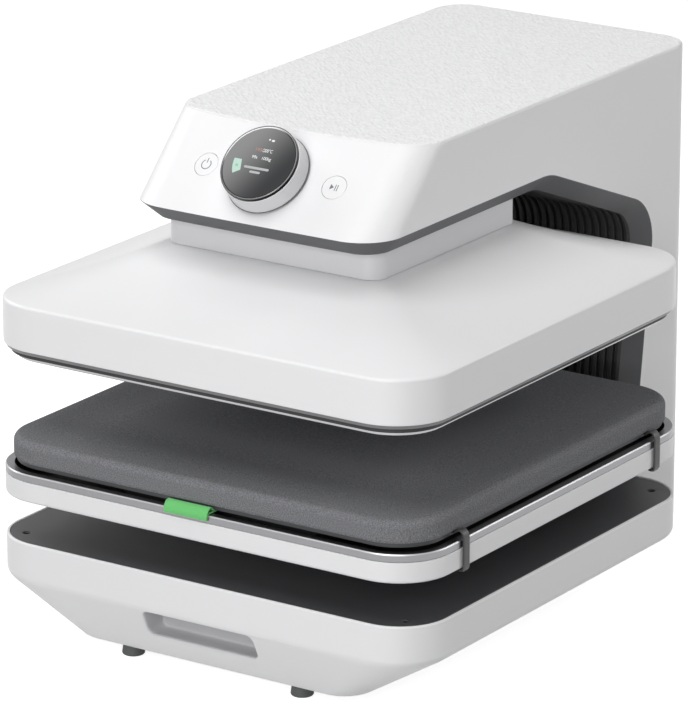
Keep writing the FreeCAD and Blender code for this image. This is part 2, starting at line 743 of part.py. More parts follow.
def tub_solid():
    return loft([tub_wire(0, BODY_LOW, 1), tub_wire(0, TUB_CREASE, 0), tub_wire(0, TUB_TOP, 0)])


def base_screw_places():
    return [(x, y) for x in (-SCREW_X, SCREW_X) for y in SCREW_Y]


def base_tub():
    """Tapered moulding with a ledge for the base plate and an opening towards the column."""
    outer = tub_solid()
    seat = BASE_PLATE_Z[0]
    inner = loft([tub_wire(WALL, BODY_LOW + WALL, 1), tub_wire(WALL, TUB_CREASE + 1, 0), tub_wire(WALL, seat - 4, 0)])
    throat = tub_wire(10, seat - 5, 0)
    recess = tub_wire(2.5, seat, 0)
    tub = cut_all(outer, [inner, raise_wire(throat, 20), raise_wire(recess, 20)])
    bosses = [cylinder(x, y, 12, seat, 6).common(outer) for x, y in base_screw_places()]
    tub = fuse([tub] + bosses)
    holes = [cylinder(x, y, 60, 90, 2.05) for x, y in base_screw_places()]
    holes.append(box(-113, 113, 125, 140, 13, 76))
    holes.append(grip_block(0.1))
    return cut_all(tub, holes)


def grip_block(grow):
    low, high = GRIP_Z
    half = GRIP_HALF + grow
    return round_edges_along_y(box(-half, half, -280, GRIP_BACK + grow, low - grow, high + grow), 6)


def hand_grip():
    """Cup set into the front of the base, its mouth flush with the sloping face."""
    low, high = GRIP_Z
    half = GRIP_HALF - GRIP_WALL
    hollow = box(-half, half, -290, GRIP_BACK - GRIP_WALL, low + GRIP_WALL, high - GRIP_WALL)
    hollow = round_edges_along_y(hollow, 6 - GRIP_WALL)
    return grip_block(0).common(tub_solid()).cut(hollow)


def base_plate():
    plate = raise_wire(tub_wire(2.8, BASE_PLATE_Z[0], 0), BASE_PLATE_Z[1] - BASE_PLATE_Z[0])
    holes = [cylinder(x, y, 70, 90, 2.3) for x, y in base_screw_places()]
    holes += [cylinder(x, y, 79.6, 90, SINK_R) for x, y in base_screw_places()]
    return cut_all(plate, holes)


def base_screws():
    screws = []
    for x, y in base_screw_places():
        head = cylinder(x, y, 79.6, SCREW_HEAD_TOP, SCREW_HEAD_R).cut(cylinder(x, y, 79.9, 82, 1.4))
        screws.append(fuse([head, cylinder(x, y, 64, 79.6, 1.95)]))
    return screws


def rubber_feet():
    return [Part.makeCone(8, 9.2, BODY_LOW, Vector(x, y, 0)) for x in (-FOOT_X, FOOT_X) for y in FOOT_Y]


# Dial, buttons and the board behind them

def dial_core():
    """Disc that carries the display, on a stem with a flange behind the panel."""
    stem = panel_cylinder(0, -6.6, 3, 9)
    return fuse([panel_cylinder(0, 3, 6, CORE_R), stem, panel_cylinder(0, -4.6, -3.3, 12)])


def display_module():
    return panel_cylinder(0, 6, 14, CORE_R - 2)


def display_glass():
    """Stepped glass whose chamfered edge covers the top of the ring."""
    return fuse([panel_cylinder(0, 14, 17.3, GLASS_R), panel_cylinder(0, 17.1, 17.7, GLASS_EDGE_R),
                 panel_cone(0, 17.7, 18.4, GLASS_EDGE_R, GLASS_CHAMFER_R)])


def dial_ring():
    """Slightly conical white ring with an inner flange that turns on the core."""
    outer = panel_cone(0, DIAL_BASE, DIAL_TOP, DIAL_R, DIAL_TOP_R).cut(panel_cylinder(0, 0, 20, CORE_R + 2))
    flange = panel_cylinder(0, 3.2, 5.8, CORE_R + 2.5).cut(panel_cylinder(0, 0, 20, CORE_R + RUNNING_GAP))
    return fuse([outer, flange])


def dial_bezel():
    """Thin hoop on the ring's top edge, round the glass."""
    rim = panel_cylinder(0, DIAL_TOP, DIAL_TOP + 1.3, DIAL_TOP_R)
    return rim.cut(panel_cylinder(0, 0, 30, GLASS_EDGE_R + RUNNING_GAP))


def button(x):
    """Button whose face follows the head's own curved face."""
    cap = panel_cylinder(x, -6.6, 4, BUTTON_R).common(head_solid())
    return fuse([cap, panel_cylinder(x, -6.6, -5.2, BUTTON_R + 1.2), panel_cylinder(x, -7.6, -6.6, 3)])


def front_board():
    """Small circuit board with a dome switch behind each button and the dial, on posts from the panel."""
    face, back = -10.4, -12
    hollow = head_hollow()
    parts = [panel_box(78, 36, 54, back, face)]
    parts += [panel_cylinder(x, face, 2, 2).common(hollow) for x in (-75, -36, 36, 75)]
    parts += [panel_cylinder(x, face, -8.5, 3.5) for x in (-BUTTON_X, BUTTON_X)]
    parts.append(panel_cylinder(0, face, -7.7, 3.5))
    return fuse(parts)


# Electrics in the column

def control_board():
    """Board on short legs over two cross bars, with relays, capacitors and two sockets."""
    low, top = 362, 364
    parts = [box(-80, 80, 75, 205, low, top)]
    parts += [box(x, x + 22, y, y + 16, top - 1, 374) for x in (-70, -40, 44) for y in (100, 145)]
    parts += [cylinder(x, 185, top - 1, 378, 8) for x in (4, 26, 48)]
    parts += [box(-45, -15, 190, 205, top - 1, 376), box(-8, 8, 75, 90, top - 1, 376)]
    bar_top = BOARD_BAR_Z + CROSS_BAR_R
    parts += [cylinder(x, y, bar_top, low + 1, 3) for x in (-74, 74) for y in (90, 190)]
    return fuse(parts)


def power_supply():
    case = box(-48, 48, 222, 262, 152, SUPPLY_TOP)
    return cut_all(case, [box(-40, 40, 250, 266, z, z + 3) for z in range(162, 284, 10)])


def fan_frame():
    """Square frame screwed to the rear cover, with the motor's seat on four spokes."""
    front, rear = 253, BODY_REAR - WALL
    spokes_front = 264
    frame = box(-FAN_HALF, FAN_HALF, front, rear, FAN_Z - FAN_HALF, FAN_Z + FAN_HALF)
    frame = frame.cut(bar_along_y(0, FAN_Z, 28, 250, 270))
    parts = [frame, bar_along_y(0, FAN_Z, 12, spokes_front, rear), bar_along_y(0, FAN_Z, 1.5, 256, spokes_front)]
    parts.append(box(-29, 29, spokes_front, rear, FAN_Z - 1.5, FAN_Z + 1.5))
    parts.append(box(-1.5, 1.5, spokes_front, rear, FAN_Z - 29, FAN_Z + 29))
    return fuse(parts)


def fan_rotor():
    front, rear = 254, 263.6
    middle = Vector(0, 258.5, FAN_Z)
    blade = box(-1, 1, 255, 262, FAN_Z + 9, FAN_Z + 26)
    blade.rotate(middle, UP, 35)
    parts = [bar_along_y(0, FAN_Z, 12, front, rear)]
    for i in range(7):
        turned = blade.copy()
        turned.rotate(middle, BACK, 360 / 7 * i)
        parts.append(turned)
    return fuse(parts).cut(bar_along_y(0, FAN_Z, 1.5 + RUNNING_GAP, 255.5, 270))


def power_inlet():
    """Appliance inlet with three flat pins, flush with the rear cover."""
    x, z = INLET_X, SOCKET_Z
    flange = box(x - 25.5, x + 25.5, 269, BODY_REAR, z - 13.5, z + 13.5)
    body = box(x - 20, x + 20, 246, 269, z - 11, z + 11)
    socket = fuse([flange, body]).cut(box(x - 14, x + 14, 254, 275, z - 8, z + 8))
    return fuse([socket] + [box(x + d - 1, x + d + 1, 250, 267, z - 2, z + 2) for d in (-7, 0, 7)])


def switch_housing():
    x, z = SWITCH_X, SOCKET_Z
    flange = box(x - 19.5, x + 19.5, 268.6, 270, z - 13.5, z + 13.5)
    body = box(x - 16, x + 16, 250, 268.6, z - 11, z + 11)
    housing = fuse([flange, body]).cut(box(x - 13, x + 13, 253.2, 275, z - 9.4, z + 9.4))
    return housing.cut(bar_along_x(SWITCH_PIVOT_Y, z, 1.5 + RUNNING_GAP, x - 15, x + 15))


def rocker_switch():
    """Rocker on its own pivot stubs, at rest with the lower half pressed in."""
    x, y, z = SWITCH_X, SWITCH_PIVOT_Y, SOCKET_Z
    face = [(y + 6.6, z + 8.2), (y + 5.2, z), (y + 6.6, z - 8.2), (y, z - 8.2), (y - 5, z - 3), (y - 5, z + 3),
            (y, z + 8.2)]
    rocker = side_block(face, [0] * 7, x - 12.6, x + 12.6)
    rocker = fuse([rocker, bar_along_x(y, z, 1.5, x - 14.6, x + 14.6)])
    rocker.rotate(Vector(0, y, z), RIGHT, -10)
    return rocker


def wiring_loom():
    """Bundle from the power supply round to the control board, and a straight one on to the motor."""
    x, y, z, bend, r = -30, 236, 370, 14, 3.5
    inner = bend * (1 - math.sqrt(0.5))
    rise = Part.LineSegment(Vector(x, y, SUPPLY_TOP), Vector(x, y, z - bend)).toShape()
    turn = Part.Arc(Vector(x, y, z - bend), Vector(x, y - inner, z - inner), Vector(x, y - bend, z)).toShape()
    run = Part.LineSegment(Vector(x, y - bend, z), Vector(x, 205, z)).toShape()
    section = Part.Wire([Part.makeCircle(r, Vector(x, y, SUPPLY_TOP), UP)])
    supply = Part.Wire([rise, turn, run]).makePipeShell([section], True, False)
    motor = bar_along_y(0, z, 3, PINION_Y + MOTOR_R + 0.1, 75)
    return [supply, motor]


# Writing the pieces

def write_piece(name, made):
    shapes = made if isinstance(made, list) else [made]
    solids = [solid for shape in shapes for solid in shape.Solids]
    state = "ok" if all(s.isValid() and s.Volume > 0 for s in solids) else "INVALID"
    piece = solids[0] if len(solids) == 1 else Part.makeCompound(solids)
    piece.exportStep("parts/" + name + ".step")
    volume = sum(s.Volume for s in solids) / 1000
    b = piece.optimalBoundingBox()
    print("%-18s %2d %8.1f cm3  x %7.1f %7.1f  y %7.1f %7.1f  z %6.1f %6.1f  %s" % (
        name, len(solids), volume, b.XMin, b.XMax, b.YMin, b.YMax, b.ZMin, b.ZMax, state))


for make in (body_shell, throat_trim, throat_grille, rear_cover, cover_screws, frame_cross_bars, press_top_plate,
             drive_lower_plate, drive_posts, guide_rods, screw_bearings, lead_screw, screw_gear, motor_pinion,
             gear_motor, lead_nut, load_cell, guide_bushes, carrier_plate, neck_shroud, neck_sleeve, platen_cover,
             platen_trim_ring, plate_gasket, heat_plate, heater_element, insulation_board, platen_standoffs,
             platen_sensors, bed_arm, bed_tray, tray_rim, deck_runners, deck_plate, press_pad, deck_clips, pull_tab,
             base_tub, hand_grip, base_plate, base_screws, rubber_feet, dial_core, display_module, display_glass,
             dial_ring, dial_bezel, front_board, control_board, power_supply, fan_frame, fan_rotor, power_inlet,
             switch_housing, rocker_switch, wiring_loom):
    write_piece(make.__name__, make())
write_piece("frame_cheek_left", frame_cheek(-1))
write_piece("frame_cheek_right", frame_cheek(1))
write_piece("power_button", button(-BUTTON_X))
write_piece("start_button", button(BUTTON_X))
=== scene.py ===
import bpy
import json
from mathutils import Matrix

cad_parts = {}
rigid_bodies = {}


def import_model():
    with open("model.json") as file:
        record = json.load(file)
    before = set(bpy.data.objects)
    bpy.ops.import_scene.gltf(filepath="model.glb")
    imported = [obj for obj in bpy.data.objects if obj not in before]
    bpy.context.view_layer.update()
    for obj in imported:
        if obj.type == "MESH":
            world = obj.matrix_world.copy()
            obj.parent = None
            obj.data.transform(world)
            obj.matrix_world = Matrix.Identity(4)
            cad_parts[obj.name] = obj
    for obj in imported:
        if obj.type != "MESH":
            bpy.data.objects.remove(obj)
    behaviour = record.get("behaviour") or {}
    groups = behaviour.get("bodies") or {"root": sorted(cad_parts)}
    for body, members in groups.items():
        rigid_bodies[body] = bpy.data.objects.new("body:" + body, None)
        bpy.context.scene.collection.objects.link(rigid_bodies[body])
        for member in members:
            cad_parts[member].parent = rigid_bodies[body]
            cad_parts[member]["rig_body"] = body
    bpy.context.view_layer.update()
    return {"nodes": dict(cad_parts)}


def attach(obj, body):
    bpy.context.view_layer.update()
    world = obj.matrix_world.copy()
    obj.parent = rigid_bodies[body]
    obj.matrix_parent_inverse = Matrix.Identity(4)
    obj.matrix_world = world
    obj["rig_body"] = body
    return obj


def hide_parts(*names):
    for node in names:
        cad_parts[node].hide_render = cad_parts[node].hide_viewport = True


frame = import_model()

import json
import math
import bmesh
import bpy
import numpy as np

# Base tub. One white moulding, open at the top, that stands on four feet. Its
# upper band is upright, its lower half tapers in to the floor, and the crease
# between them is soft. Sizes are in millimetres, and each mesh is in metres.
tub_half, tub_y, tub_r = (200.5, 202.5), -66.0, 43.0
tub_low, tub_crease, tub_top = 8.5, 50.5, 82.0
tub_taper = {"side": 69.5, "front": 19.5, "corner": 19.0}
tub_wall, tub_lip, crease_width = 3.0, 2.5, 4.0
seat_top, seat_under = 76.0, 73.5
white = (0.84, 0.84, 0.85)
both_ends = ("first", "last")


def rounded_line(points, radii, steps=6, hold=0.5):
    """Open line through points, each inner corner swapped for an arc of its radius. An arc touches both
    runs at radius / tan(half the corner), and a holding point lies just past each of its ends."""
    points = np.asarray(points, float)
    line = [points[:1]]
    for before, corner, after, radius in zip(points[:-2], points[1:-1], points[2:], radii):
        if radius == 0:
            line.append(corner[None])
            continue
        back = (before - corner) / np.linalg.norm(before - corner)
        ahead = (after - corner) / np.linalg.norm(after - corner)
        half = np.arccos(np.clip(back @ ahead, -1, 1)) / 2
        middle = back + ahead
        centre = corner + middle / np.linalg.norm(middle) * radius / np.sin(half)
        first = corner + back * radius / np.tan(half)
        last = corner + ahead * radius / np.tan(half)
        u, v = first - centre, last - centre
        swept = np.arctan2(u[0] * v[1] - u[1] * v[0], u @ v)
        t = np.linspace(0, swept, steps + 1)[:, None]
        arc = centre + u * np.cos(t) + np.array([-u[1], u[0]]) * np.sin(t)
        line += [(first + back * hold)[None], arc, (last + ahead * hold)[None]]
    line.append(points[-1:])
    return np.concatenate(line)


def round_rings(hx, front, rear, r, z, corner_steps=14):
    """Rounded rectangles, one per height: four quarter circles about the inner corners, joined by straight
    runs that hold a point near each end and one in the middle. Seen from above they run anticlockwise."""
    hx, front, rear, r, z = np.broadcast_arrays(*[np.asarray(v, float) for v in (hx, front, rear, r, z)])
    hx, front, rear, r = (v[:, None] for v in (hx, front, rear, r))
    turn = np.linspace(0, np.pi / 2, corner_steps + 1)
    corners = []
    for side, end, start in ((1, front + r, -0.5), (1, rear - r, 0), (-1, rear - r, 0.5), (-1, front + r, 1)):
        a = start * np.pi + turn
        corners.append((side * (hx - r) + r * np.cos(a), end + r * np.sin(a)))
    share = np.array([0.006, 0.5, 0.994])
    xs, ys = [], []
    for k, (x, y) in enumerate(corners):
        next_x, next_y = corners[(k + 1) % 4]
        xs += [x, x[:, -1:] + share * (next_x[:, :1] - x[:, -1:])]
        ys += [y, y[:, -1:] + share * (next_y[:, :1] - y[:, -1:])]
    xs, ys = np.concatenate(xs, 1), np.concatenate(ys, 1)
    return np.stack([xs, ys, np.repeat(z[:, None], xs.shape[1], 1)], -1)


def grid_quads(rows, around, rows_joined, columns_joined):
    """A quad between each four neighbours of a grid, the last row and column being followed by the first."""
    i = np.arange(rows_joined)[:, None]
    j = np.arange(columns_joined)[None]
    up, on = (i + 1) % rows, (j + 1) % around
    return np.stack([i * around + j, i * around + on, up * around + on, up * around + j], -1).reshape(-1, 4)


def point_mesh(name, points, faces):
    """Mesh from an array of points in millimetres and a list of faces."""
    mesh = bpy.data.meshes.new(name)
    mesh.from_pydata((points.reshape(-1, 3) * 0.001).tolist(), [], faces)
    return mesh


def shade_smooth(mesh, sharp=None):
    """Smooth shading, broken where two faces meet at more than an angle in degrees."""
    mesh.polygons.foreach_set("use_smooth", np.ones(len(mesh.polygons), bool))
    if sharp is not None:
        mesh.set_sharp_from_angle(angle=math.radians(sharp))


def added(name, data):
    """New object with its data, in the scene."""
    piece = bpy.data.objects.new(name, data)
    bpy.context.scene.collection.objects.link(piece)
    return piece


def skin(name, grid, closed=False, caps=(), sharp=40):
    """Piece from a grid of points whose rows are rings. Closed joins the last ring to the first, and caps
    names the end rings that one flat face closes."""
    rows, around = grid.shape[:2]
    faces = grid_quads(rows, around, rows if closed else rows - 1, around).tolist()
    if "first" in caps:
        faces.append(list(range(around))[::-1])
    if "last" in caps:
        faces.append(list(range((rows - 1) * around, rows * around)))
    mesh = point_mesh(name, grid, faces)
    shade_smooth(mesh, sharp)
    return added(name, mesh)


def finish_piece(piece, material, slot, *nodes):
    """Gives a piece its material, and lets it stand for its nodes on their body. The slot is not used."""
    piece.data.materials.clear()
    piece.data.materials.append(material)
    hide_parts(*nodes)
    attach(piece, frame["nodes"][nodes[0]]["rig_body"])
    return piece


def set_up(owner, node, given):
    """Sets up a node. A lower-case name is one of its settings, i and a number a socket by its place, and any
    other name a socket, with _ for a space. A socket takes a value or another node's output."""
    for name, value in given.items():
        numbered = name[0] == "i" and name[1:].isdigit()
        if name.islower() and not numbered:
            setattr(node, name, value)
            continue
        socket = node.inputs[int(name[1:]) if numbered else name.replace("_", " ")]
        if isinstance(value, bpy.types.NodeSocket):
            owner.node_tree.links.new(value, socket)
        else:
            socket.default_value = value
    return node


def add_node(owner, kind, **given):
    """New node of a material or of the world, set up as given."""
    return set_up(owner, owner.node_tree.nodes.new("ShaderNode" + kind), given)


def noise(material, place, scale, detail, **given):
    """Share of a noise pattern at a place."""
    return add_node(material, "TexNoise", Vector=place, Scale=scale, Detail=detail, **given).outputs["Fac"]


def mapped(material, value, low, high, **given):
    """Value carried evenly from its own range, 0 to 1 if none is given, to the one from low to high."""
    return add_node(material, "MapRange", Value=value, To_Min=low, To_Max=high, **given).outputs["Result"]


def feed(material, **given):
    """Sets sockets of the material's own shader."""
    set_up(material, material.node_tree.nodes["Principled BSDF"], given)


def new_material(name, colour, roughness, metallic=0.0):
    """Principled material with its even values on the shader's own sockets."""
    material = bpy.data.materials.new(name)
    material.use_nodes = True
    feed(material, Base_Color=(*colour, 1), Roughness=roughness, Metallic=metallic)
    material.diffuse_color = (*colour, 1)
    return material


def object_place(material):
    """Place on the object, in metres."""
    return add_node(material, "TexCoord").outputs["Object"]


def colour_between(material, share, low, high):
    """Colour that goes evenly from one to another with a share."""
    return add_node(material, "Mix", data_type="RGBA", i0=share, i6=low, i7=high).outputs[2]


def vary(material, colour, roughness, place, scale, tone, gloss):
    """Slow drift over the surface: noise mapped to a share of tone either side of the colour, and to as much
    gloss either side of the roughness. With no tone, the colour stays as it is."""
    drift = noise(material, place, scale, 3.0)
    feed(material, Roughness=mapped(material, drift, roughness - gloss, roughness + gloss))
    if tone:
        dark, light = ([min(c * share, 1) for c in colour] + [1] for share in (1 - tone, 1 + tone))
        drifted = colour_between(material, drift, dark, light)
        feed(material, Base_Color=drifted)
        return drifted


def raised(material, height, depth, strength, under=None):
    """Relief from a height, depth in millimetres, that may lie on another relief under it."""
    bump = add_node(material, "Bump", Height=height, Distance=depth * 0.001, Strength=strength)
    if under is not None:
        set_up(material, bump, {"Normal": under})
    feed(material, Normal=bump.outputs["Normal"])
    return bump.outputs["Normal"]


def grain_relief(material, place, scale, depth, strength, under=None):
    """Fine moulded or blasted grain: noise taken as height."""
    raised(material, noise(material, place, scale, 2.0), depth, strength, under)


def drifting(name, colour, roughness, metallic, drift, grain=None):
    """Material with a drift, as scale, tone and gloss, and a grain, as scale, depth and strength."""
    material = new_material(name, colour, roughness, metallic)
    place = object_place(material)
    vary(material, colour, roughness, place, *drift)
    if grain:
        grain_relief(material, place, *grain)
    return material


def satin_plastic(name, colour, roughness=0.42, grain=900.0, depth=0.05):
    """Moulded plastic: a slow drift of tone and gloss, and a spark-eroded grain too fine to see from afar."""
    return drifting(name, colour, roughness, 0.0, (7.0, 0.015, 0.05), (grain, depth, 0.5))


def tub_rings(line):
    """Rings of the tub from a line of inset and height. Below the crease the outline draws in evenly with
    depth, and within the crease's width that draw grows as a parabola from nothing to the full taper."""
    inset, z = line[:, 0], line[:, 1]
    fall = tub_crease - z
    soft = np.clip(fall + crease_width, 0, None) ** 2 / (4 * crease_width)
    drawn = np.where(fall > crease_width, fall, np.where(fall > -crease_width, soft, 0))
    share = drawn / (tub_crease - tub_low)
    hx = tub_half[0] - tub_taper["side"] * share - inset
    front = tub_y - tub_half[1] + tub_taper["front"] * share + inset
    r = np.clip(tub_r - tub_taper["corner"] * share - inset, 0.5, None)
    return round_rings(hx, front, tub_y + tub_half[1] - inset, r, z)


def upright_rings(half, low, high, r, y):
    """Rounded rectangles in upright planes, one per depth y, anticlockwise seen from behind."""
    half, low, high, r, y = (np.atleast_1d(np.asarray(v, float)) for v in (half, low, high, r, y))
    rings = round_rings(half, low, high, r, y, 8)
    return np.stack([-rings[..., 0], rings[..., 2], rings[..., 1]], -1)


def settle(piece):
    """Turns a piece's modifiers into its own mesh."""
    bpy.context.view_layer.update()
    settled = bpy.data.meshes.new_from_object(piece.evaluated_get(bpy.context.evaluated_depsgraph_get()))
    piece.modifiers.clear()
    piece.data = settled


def carve(piece, tool):
    """Cuts the space that a tool fills out of a piece, whose flats then stay evenly shaded."""
    cutter = piece.modifiers.new("cut", "BOOLEAN")
    cutter.object = tool
    cutter.solver = "EXACT"
    settle(piece)
    piece.modifiers.new("even flats", "WEIGHTED_NORMAL").keep_sharp = True
    bpy.data.objects.remove(tool)


crease_z = np.linspace(tub_crease - crease_width, tub_crease + crease_width, 9)
crease_line = np.stack([np.zeros(9), crease_z], 1)
floor_line = rounded_line([(12, tub_low), (0, tub_low), (0, 30)], [1.5], hold=1)
lip_line = rounded_line([(0, 60), (0, tub_top), (tub_lip, tub_top), (tub_lip, seat_top)], [1.2, 0.5],
                        hold=0.4)
inner_line = np.array([(10, seat_top), (10, seat_under), (tub_wall, seat_under), (tub_wall, 60),
                       (tub_wall, tub_crease), (tub_wall, tub_low + tub_wall)])
tub_line = np.concatenate([floor_line, crease_line, lip_line, inner_line])
base_tub = skin("base_tub_moulding", tub_rings(tub_line), caps=both_ends)
white_plastic = satin_plastic("white_moulding", white)
grip_half, grip_low, grip_high, grip_back, grip_r = 52.0, 27.0, 49.5, -238.0, 6.0
pocket_rings = upright_rings(grip_half, grip_low, grip_high, grip_r, [-300, grip_back + 0.1])
carve(base_tub, skin("grip_pocket", pocket_rings, caps=both_ends))
finish_piece(base_tub, white_plastic, "white_shell", "base_tub")

# Hand grip. A light grey cup set into the tub's front: a level floor, an
# upright back and small rounded corners. Its mouth follows the sloping wall.
grip_grey = satin_plastic("grip_moulding", (0.6, 0.6, 0.615), 0.5)
grip_wall, mouth_y, mouth_reach, white_rows = 1.2, tub_y - tub_half[1] + 0.4, 18.0, 2
grip_deep = grip_back - grip_wall - mouth_y
grip_depth = np.array([0, 0.3, 0.7, 1.3, 2.4, 5, 12, 20, grip_deep - 1.6, grip_deep - 0.75, grip_deep - 0.2,
                       grip_deep, grip_deep])
grip_inset = np.array([-0.5, -0.1, 0.35, 0.8, 1.1, 1.2, 1.2, 1.2, 1.25, 1.5, 2.1, 2.9, 4.0])


def grip_rings():
    """Rings of the cup by depth. Near the mouth they lean with the wall: y grows by the taper for each step
    down, and the less the deeper the ring lies."""
    rings = upright_rings(grip_half - grip_inset, grip_low + grip_inset, grip_high - grip_inset,
                          np.clip(grip_r - grip_inset, 2.5, None), mouth_y + grip_depth)
    lean = tub_taper["front"] / (tub_crease - tub_low)
    drop = np.clip(tub_crease - rings[..., 2], 0, None) * lean
    rings[..., 1] += drop * np.clip(1 - grip_depth / mouth_reach, 0, 1)[:, None]
    return rings[:, ::-1]


def paint_rows(piece, kinds, ends, *materials):
    """Gives a piece more materials, each row of its faces the number of its own, and then the end faces."""
    for material in materials:
        piece.data.materials.append(material)
    around = (len(piece.data.polygons) - len(ends)) // len(kinds)
    numbers = np.append(np.repeat(kinds, around), ends).astype(np.int32)
    piece.data.polygons.foreach_set("material_index", numbers)


grip_cup = finish_piece(skin("grip_cup", grip_rings(), caps=("last",)), grip_grey, "grip_grey", "hand_grip")
paint_rows(grip_cup, np.arange(len(grip_depth) - 1) < white_rows, (0,), white_plastic)

# Base plate and its screws. A charcoal powder-coated steel sheet let into the
# tub's rim and held by four black socket screws in countersinks.
sheet_low, sheet_top = 78.5, 81.5
sink_r, sink_z, head_r, head_top, socket_r = 3.4, 79.6, 3.1, 80.1, 1.45
screw_places = [(x, y) for x in (-176.5, 176.5) for y in (-246.0, 111.0)]
charcoal = drifting("charcoal_powder_coat", (0.054, 0.055, 0.059), 0.46, 0.0, (12.0, 0.08, 0.05),
                    (1600.0, 0.05, 0.6))
blackened = new_material("blackened_steel", (0.004, 0.004, 0.004), 0.75)
feed(blackened, Specular_IOR_Level=0.1)
grain_relief(blackened, object_place(blackened), 3000.0, 0.02, 0.4)


def upright_turned(x, y, profile, steps=40):
    """Profile of radius and height carried round an upright axis, as anticlockwise rings."""
    a = np.linspace(0, 2 * np.pi, steps, endpoint=False)
    profile = np.asarray(profile, float)
    r, z = profile[:, :1], profile[:, 1:]
    return np.stack([x + r * np.cos(a), y + r * np.sin(a), z + 0 * a], -1)


def joined(name, pieces):
    """One object from several, by adding their meshes together."""
    whole = bmesh.new()
    for piece in pieces:
        whole.from_mesh(piece.data)
    mesh = bpy.data.meshes.new(name)
    whole.to_mesh(mesh)
    whole.free()
    for piece in pieces:
        bpy.data.objects.remove(piece)
    return added(name, mesh)


def socket_screw(x, y, top, steps=48):
    """Low round head with a six-sided socket: the outer profile turned, and the socket's wall as a hexagon
    whose radius is the apothem over the cosine of the angle from the nearest flat."""
    rings = upright_turned(x, y, [(1.9, 64), (1.95, sink_z), (head_r - 0.2, sink_z), (head_r, sink_z + 0.1),
                                  (head_r, top - 0.25), (head_r - 0.2, top - 0.04), (head_r - 0.4, top),
                                  (1.9, top)], steps)
    a = np.linspace(0, 2 * np.pi, steps, endpoint=False)
    hexagon = socket_r / np.cos((a + np.pi / 6) % (np.pi / 3) - np.pi / 6)
    socket = [np.stack([x + hexagon * np.cos(a), y + hexagon * np.sin(a), np.full(steps, z)], -1)[None]
              for z in (top, top - 0.5)]
    return skin("screw", np.concatenate([rings] + socket), caps=both_ends)


sheet_line = rounded_line([(10, sheet_low), (2.8, sheet_low), (2.8, sheet_top), (20, sheet_top)], [0.2, 0.4],
                          4, 0.3)
base_plate = skin("base_sheet", tub_rings(sheet_line), caps=both_ends)
sinks = [skin("sink", upright_turned(x, y, [(sink_r, sink_z), (sink_r, 90)]), caps=both_ends)
         for x, y in screw_places]
carve(base_plate, joined("screw_sinks", sinks))
finish_piece(base_plate, charcoal, "deck_grey", "base_plate")
finish_piece(joined("plate_screws", [socket_screw(x, y, head_top) for x, y in screw_places]), blackened,
             "screw_black", "base_screws")

# Feet. Four short rubber plugs, wider at the floor, pressed into the tub.
# They are turned shapes of dark rubber with a dull, slightly rough skin.
foot_rubber = satin_plastic("foot_rubber", (0.085, 0.09, 0.09), 0.7, 1400.0, 0.12)
foot_profile = rounded_line([(0.5, 0), (9.2, 0), (8.0, 8.6), (0.5, 8.6)], [1.6, 0], 5, 0.2)
feet = [skin("foot", upright_turned(x, y, foot_profile), caps=both_ends)
        for x in (-79.0, 79.0) for y in (-240.0, 225.0)]
finish_piece(joined("foot_plugs", feet), foot_rubber, "gasket_rubber", "rubber_feet")

# Frame. Two C-shaped steel cheeks and the round bars between them, in black
# powder coat. They are cut and drilled as drawn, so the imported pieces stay.
frame_coat = drifting("frame_powder_coat", (0.12, 0.12, 0.125), 0.5, 0.0, (14.0, 0.08, 0.05),
                      (900.0, 0.15, 0.7))


def dress(material, *nodes):
    """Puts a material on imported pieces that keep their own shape."""
    for name in nodes:
        for slot in frame["nodes"][name].material_slots:
            slot.material = material


dress(frame_coat, "frame_cheek_left", "frame_cheek_right", "frame_cross_bars", "press_top_plate",
      "drive_lower_plate", "drive_posts")
dress(charcoal, "bed_arm")

# Body shell. One white moulding: a wedge-fronted head over a straight column.
# Its top is embossed all over with a fine woven pattern, up to the rounded edge,
# and its colour there is painted lighter as light on the top, the grooves less so
# as painted shade.
emboss_level, emboss_fade = 0.4088, 0.0010
coplanar_angle = 0.6


def moulded_copy(node, name, material, slot, sharp=30, edge=0.0):
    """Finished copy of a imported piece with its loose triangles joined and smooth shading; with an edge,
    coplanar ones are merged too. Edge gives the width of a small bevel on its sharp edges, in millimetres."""
    mesh = frame["nodes"][node].data.copy()
    work = bmesh.new()
    work.from_mesh(mesh)
    bmesh.ops.remove_doubles(work, verts=work.verts, dist=2e-6)
    if edge:
        bmesh.ops.dissolve_limit(work, angle_limit=math.radians(coplanar_angle), verts=work.verts,
                                 edges=work.edges)
    work.to_mesh(mesh)
    work.free()
    if "custom_normal" in mesh.attributes:
        mesh.attributes.remove(mesh.attributes["custom_normal"])
    shade_smooth(mesh, sharp)
    piece = added(name, mesh)
    if edge:
        bevel = piece.modifiers.new("edge", "BEVEL")
        bevel.width = edge * 0.001
        bevel.segments = 2
        bevel.limit_method = "ANGLE"
        bevel.angle_limit = math.radians(sharp)
        bevel.use_clamp_overlap = True
    piece.modifiers.new("even flats", "WEIGHTED_NORMAL").keep_sharp = not edge
    finish_piece(piece, material, slot, node)


def calculated(owner, operation, *values):
    """Result of one operation on two or three values."""
    given = {"i%d" % k: value for k, value in enumerate(values)}
    return add_node(owner, "Math", operation=operation, **given).outputs[0]


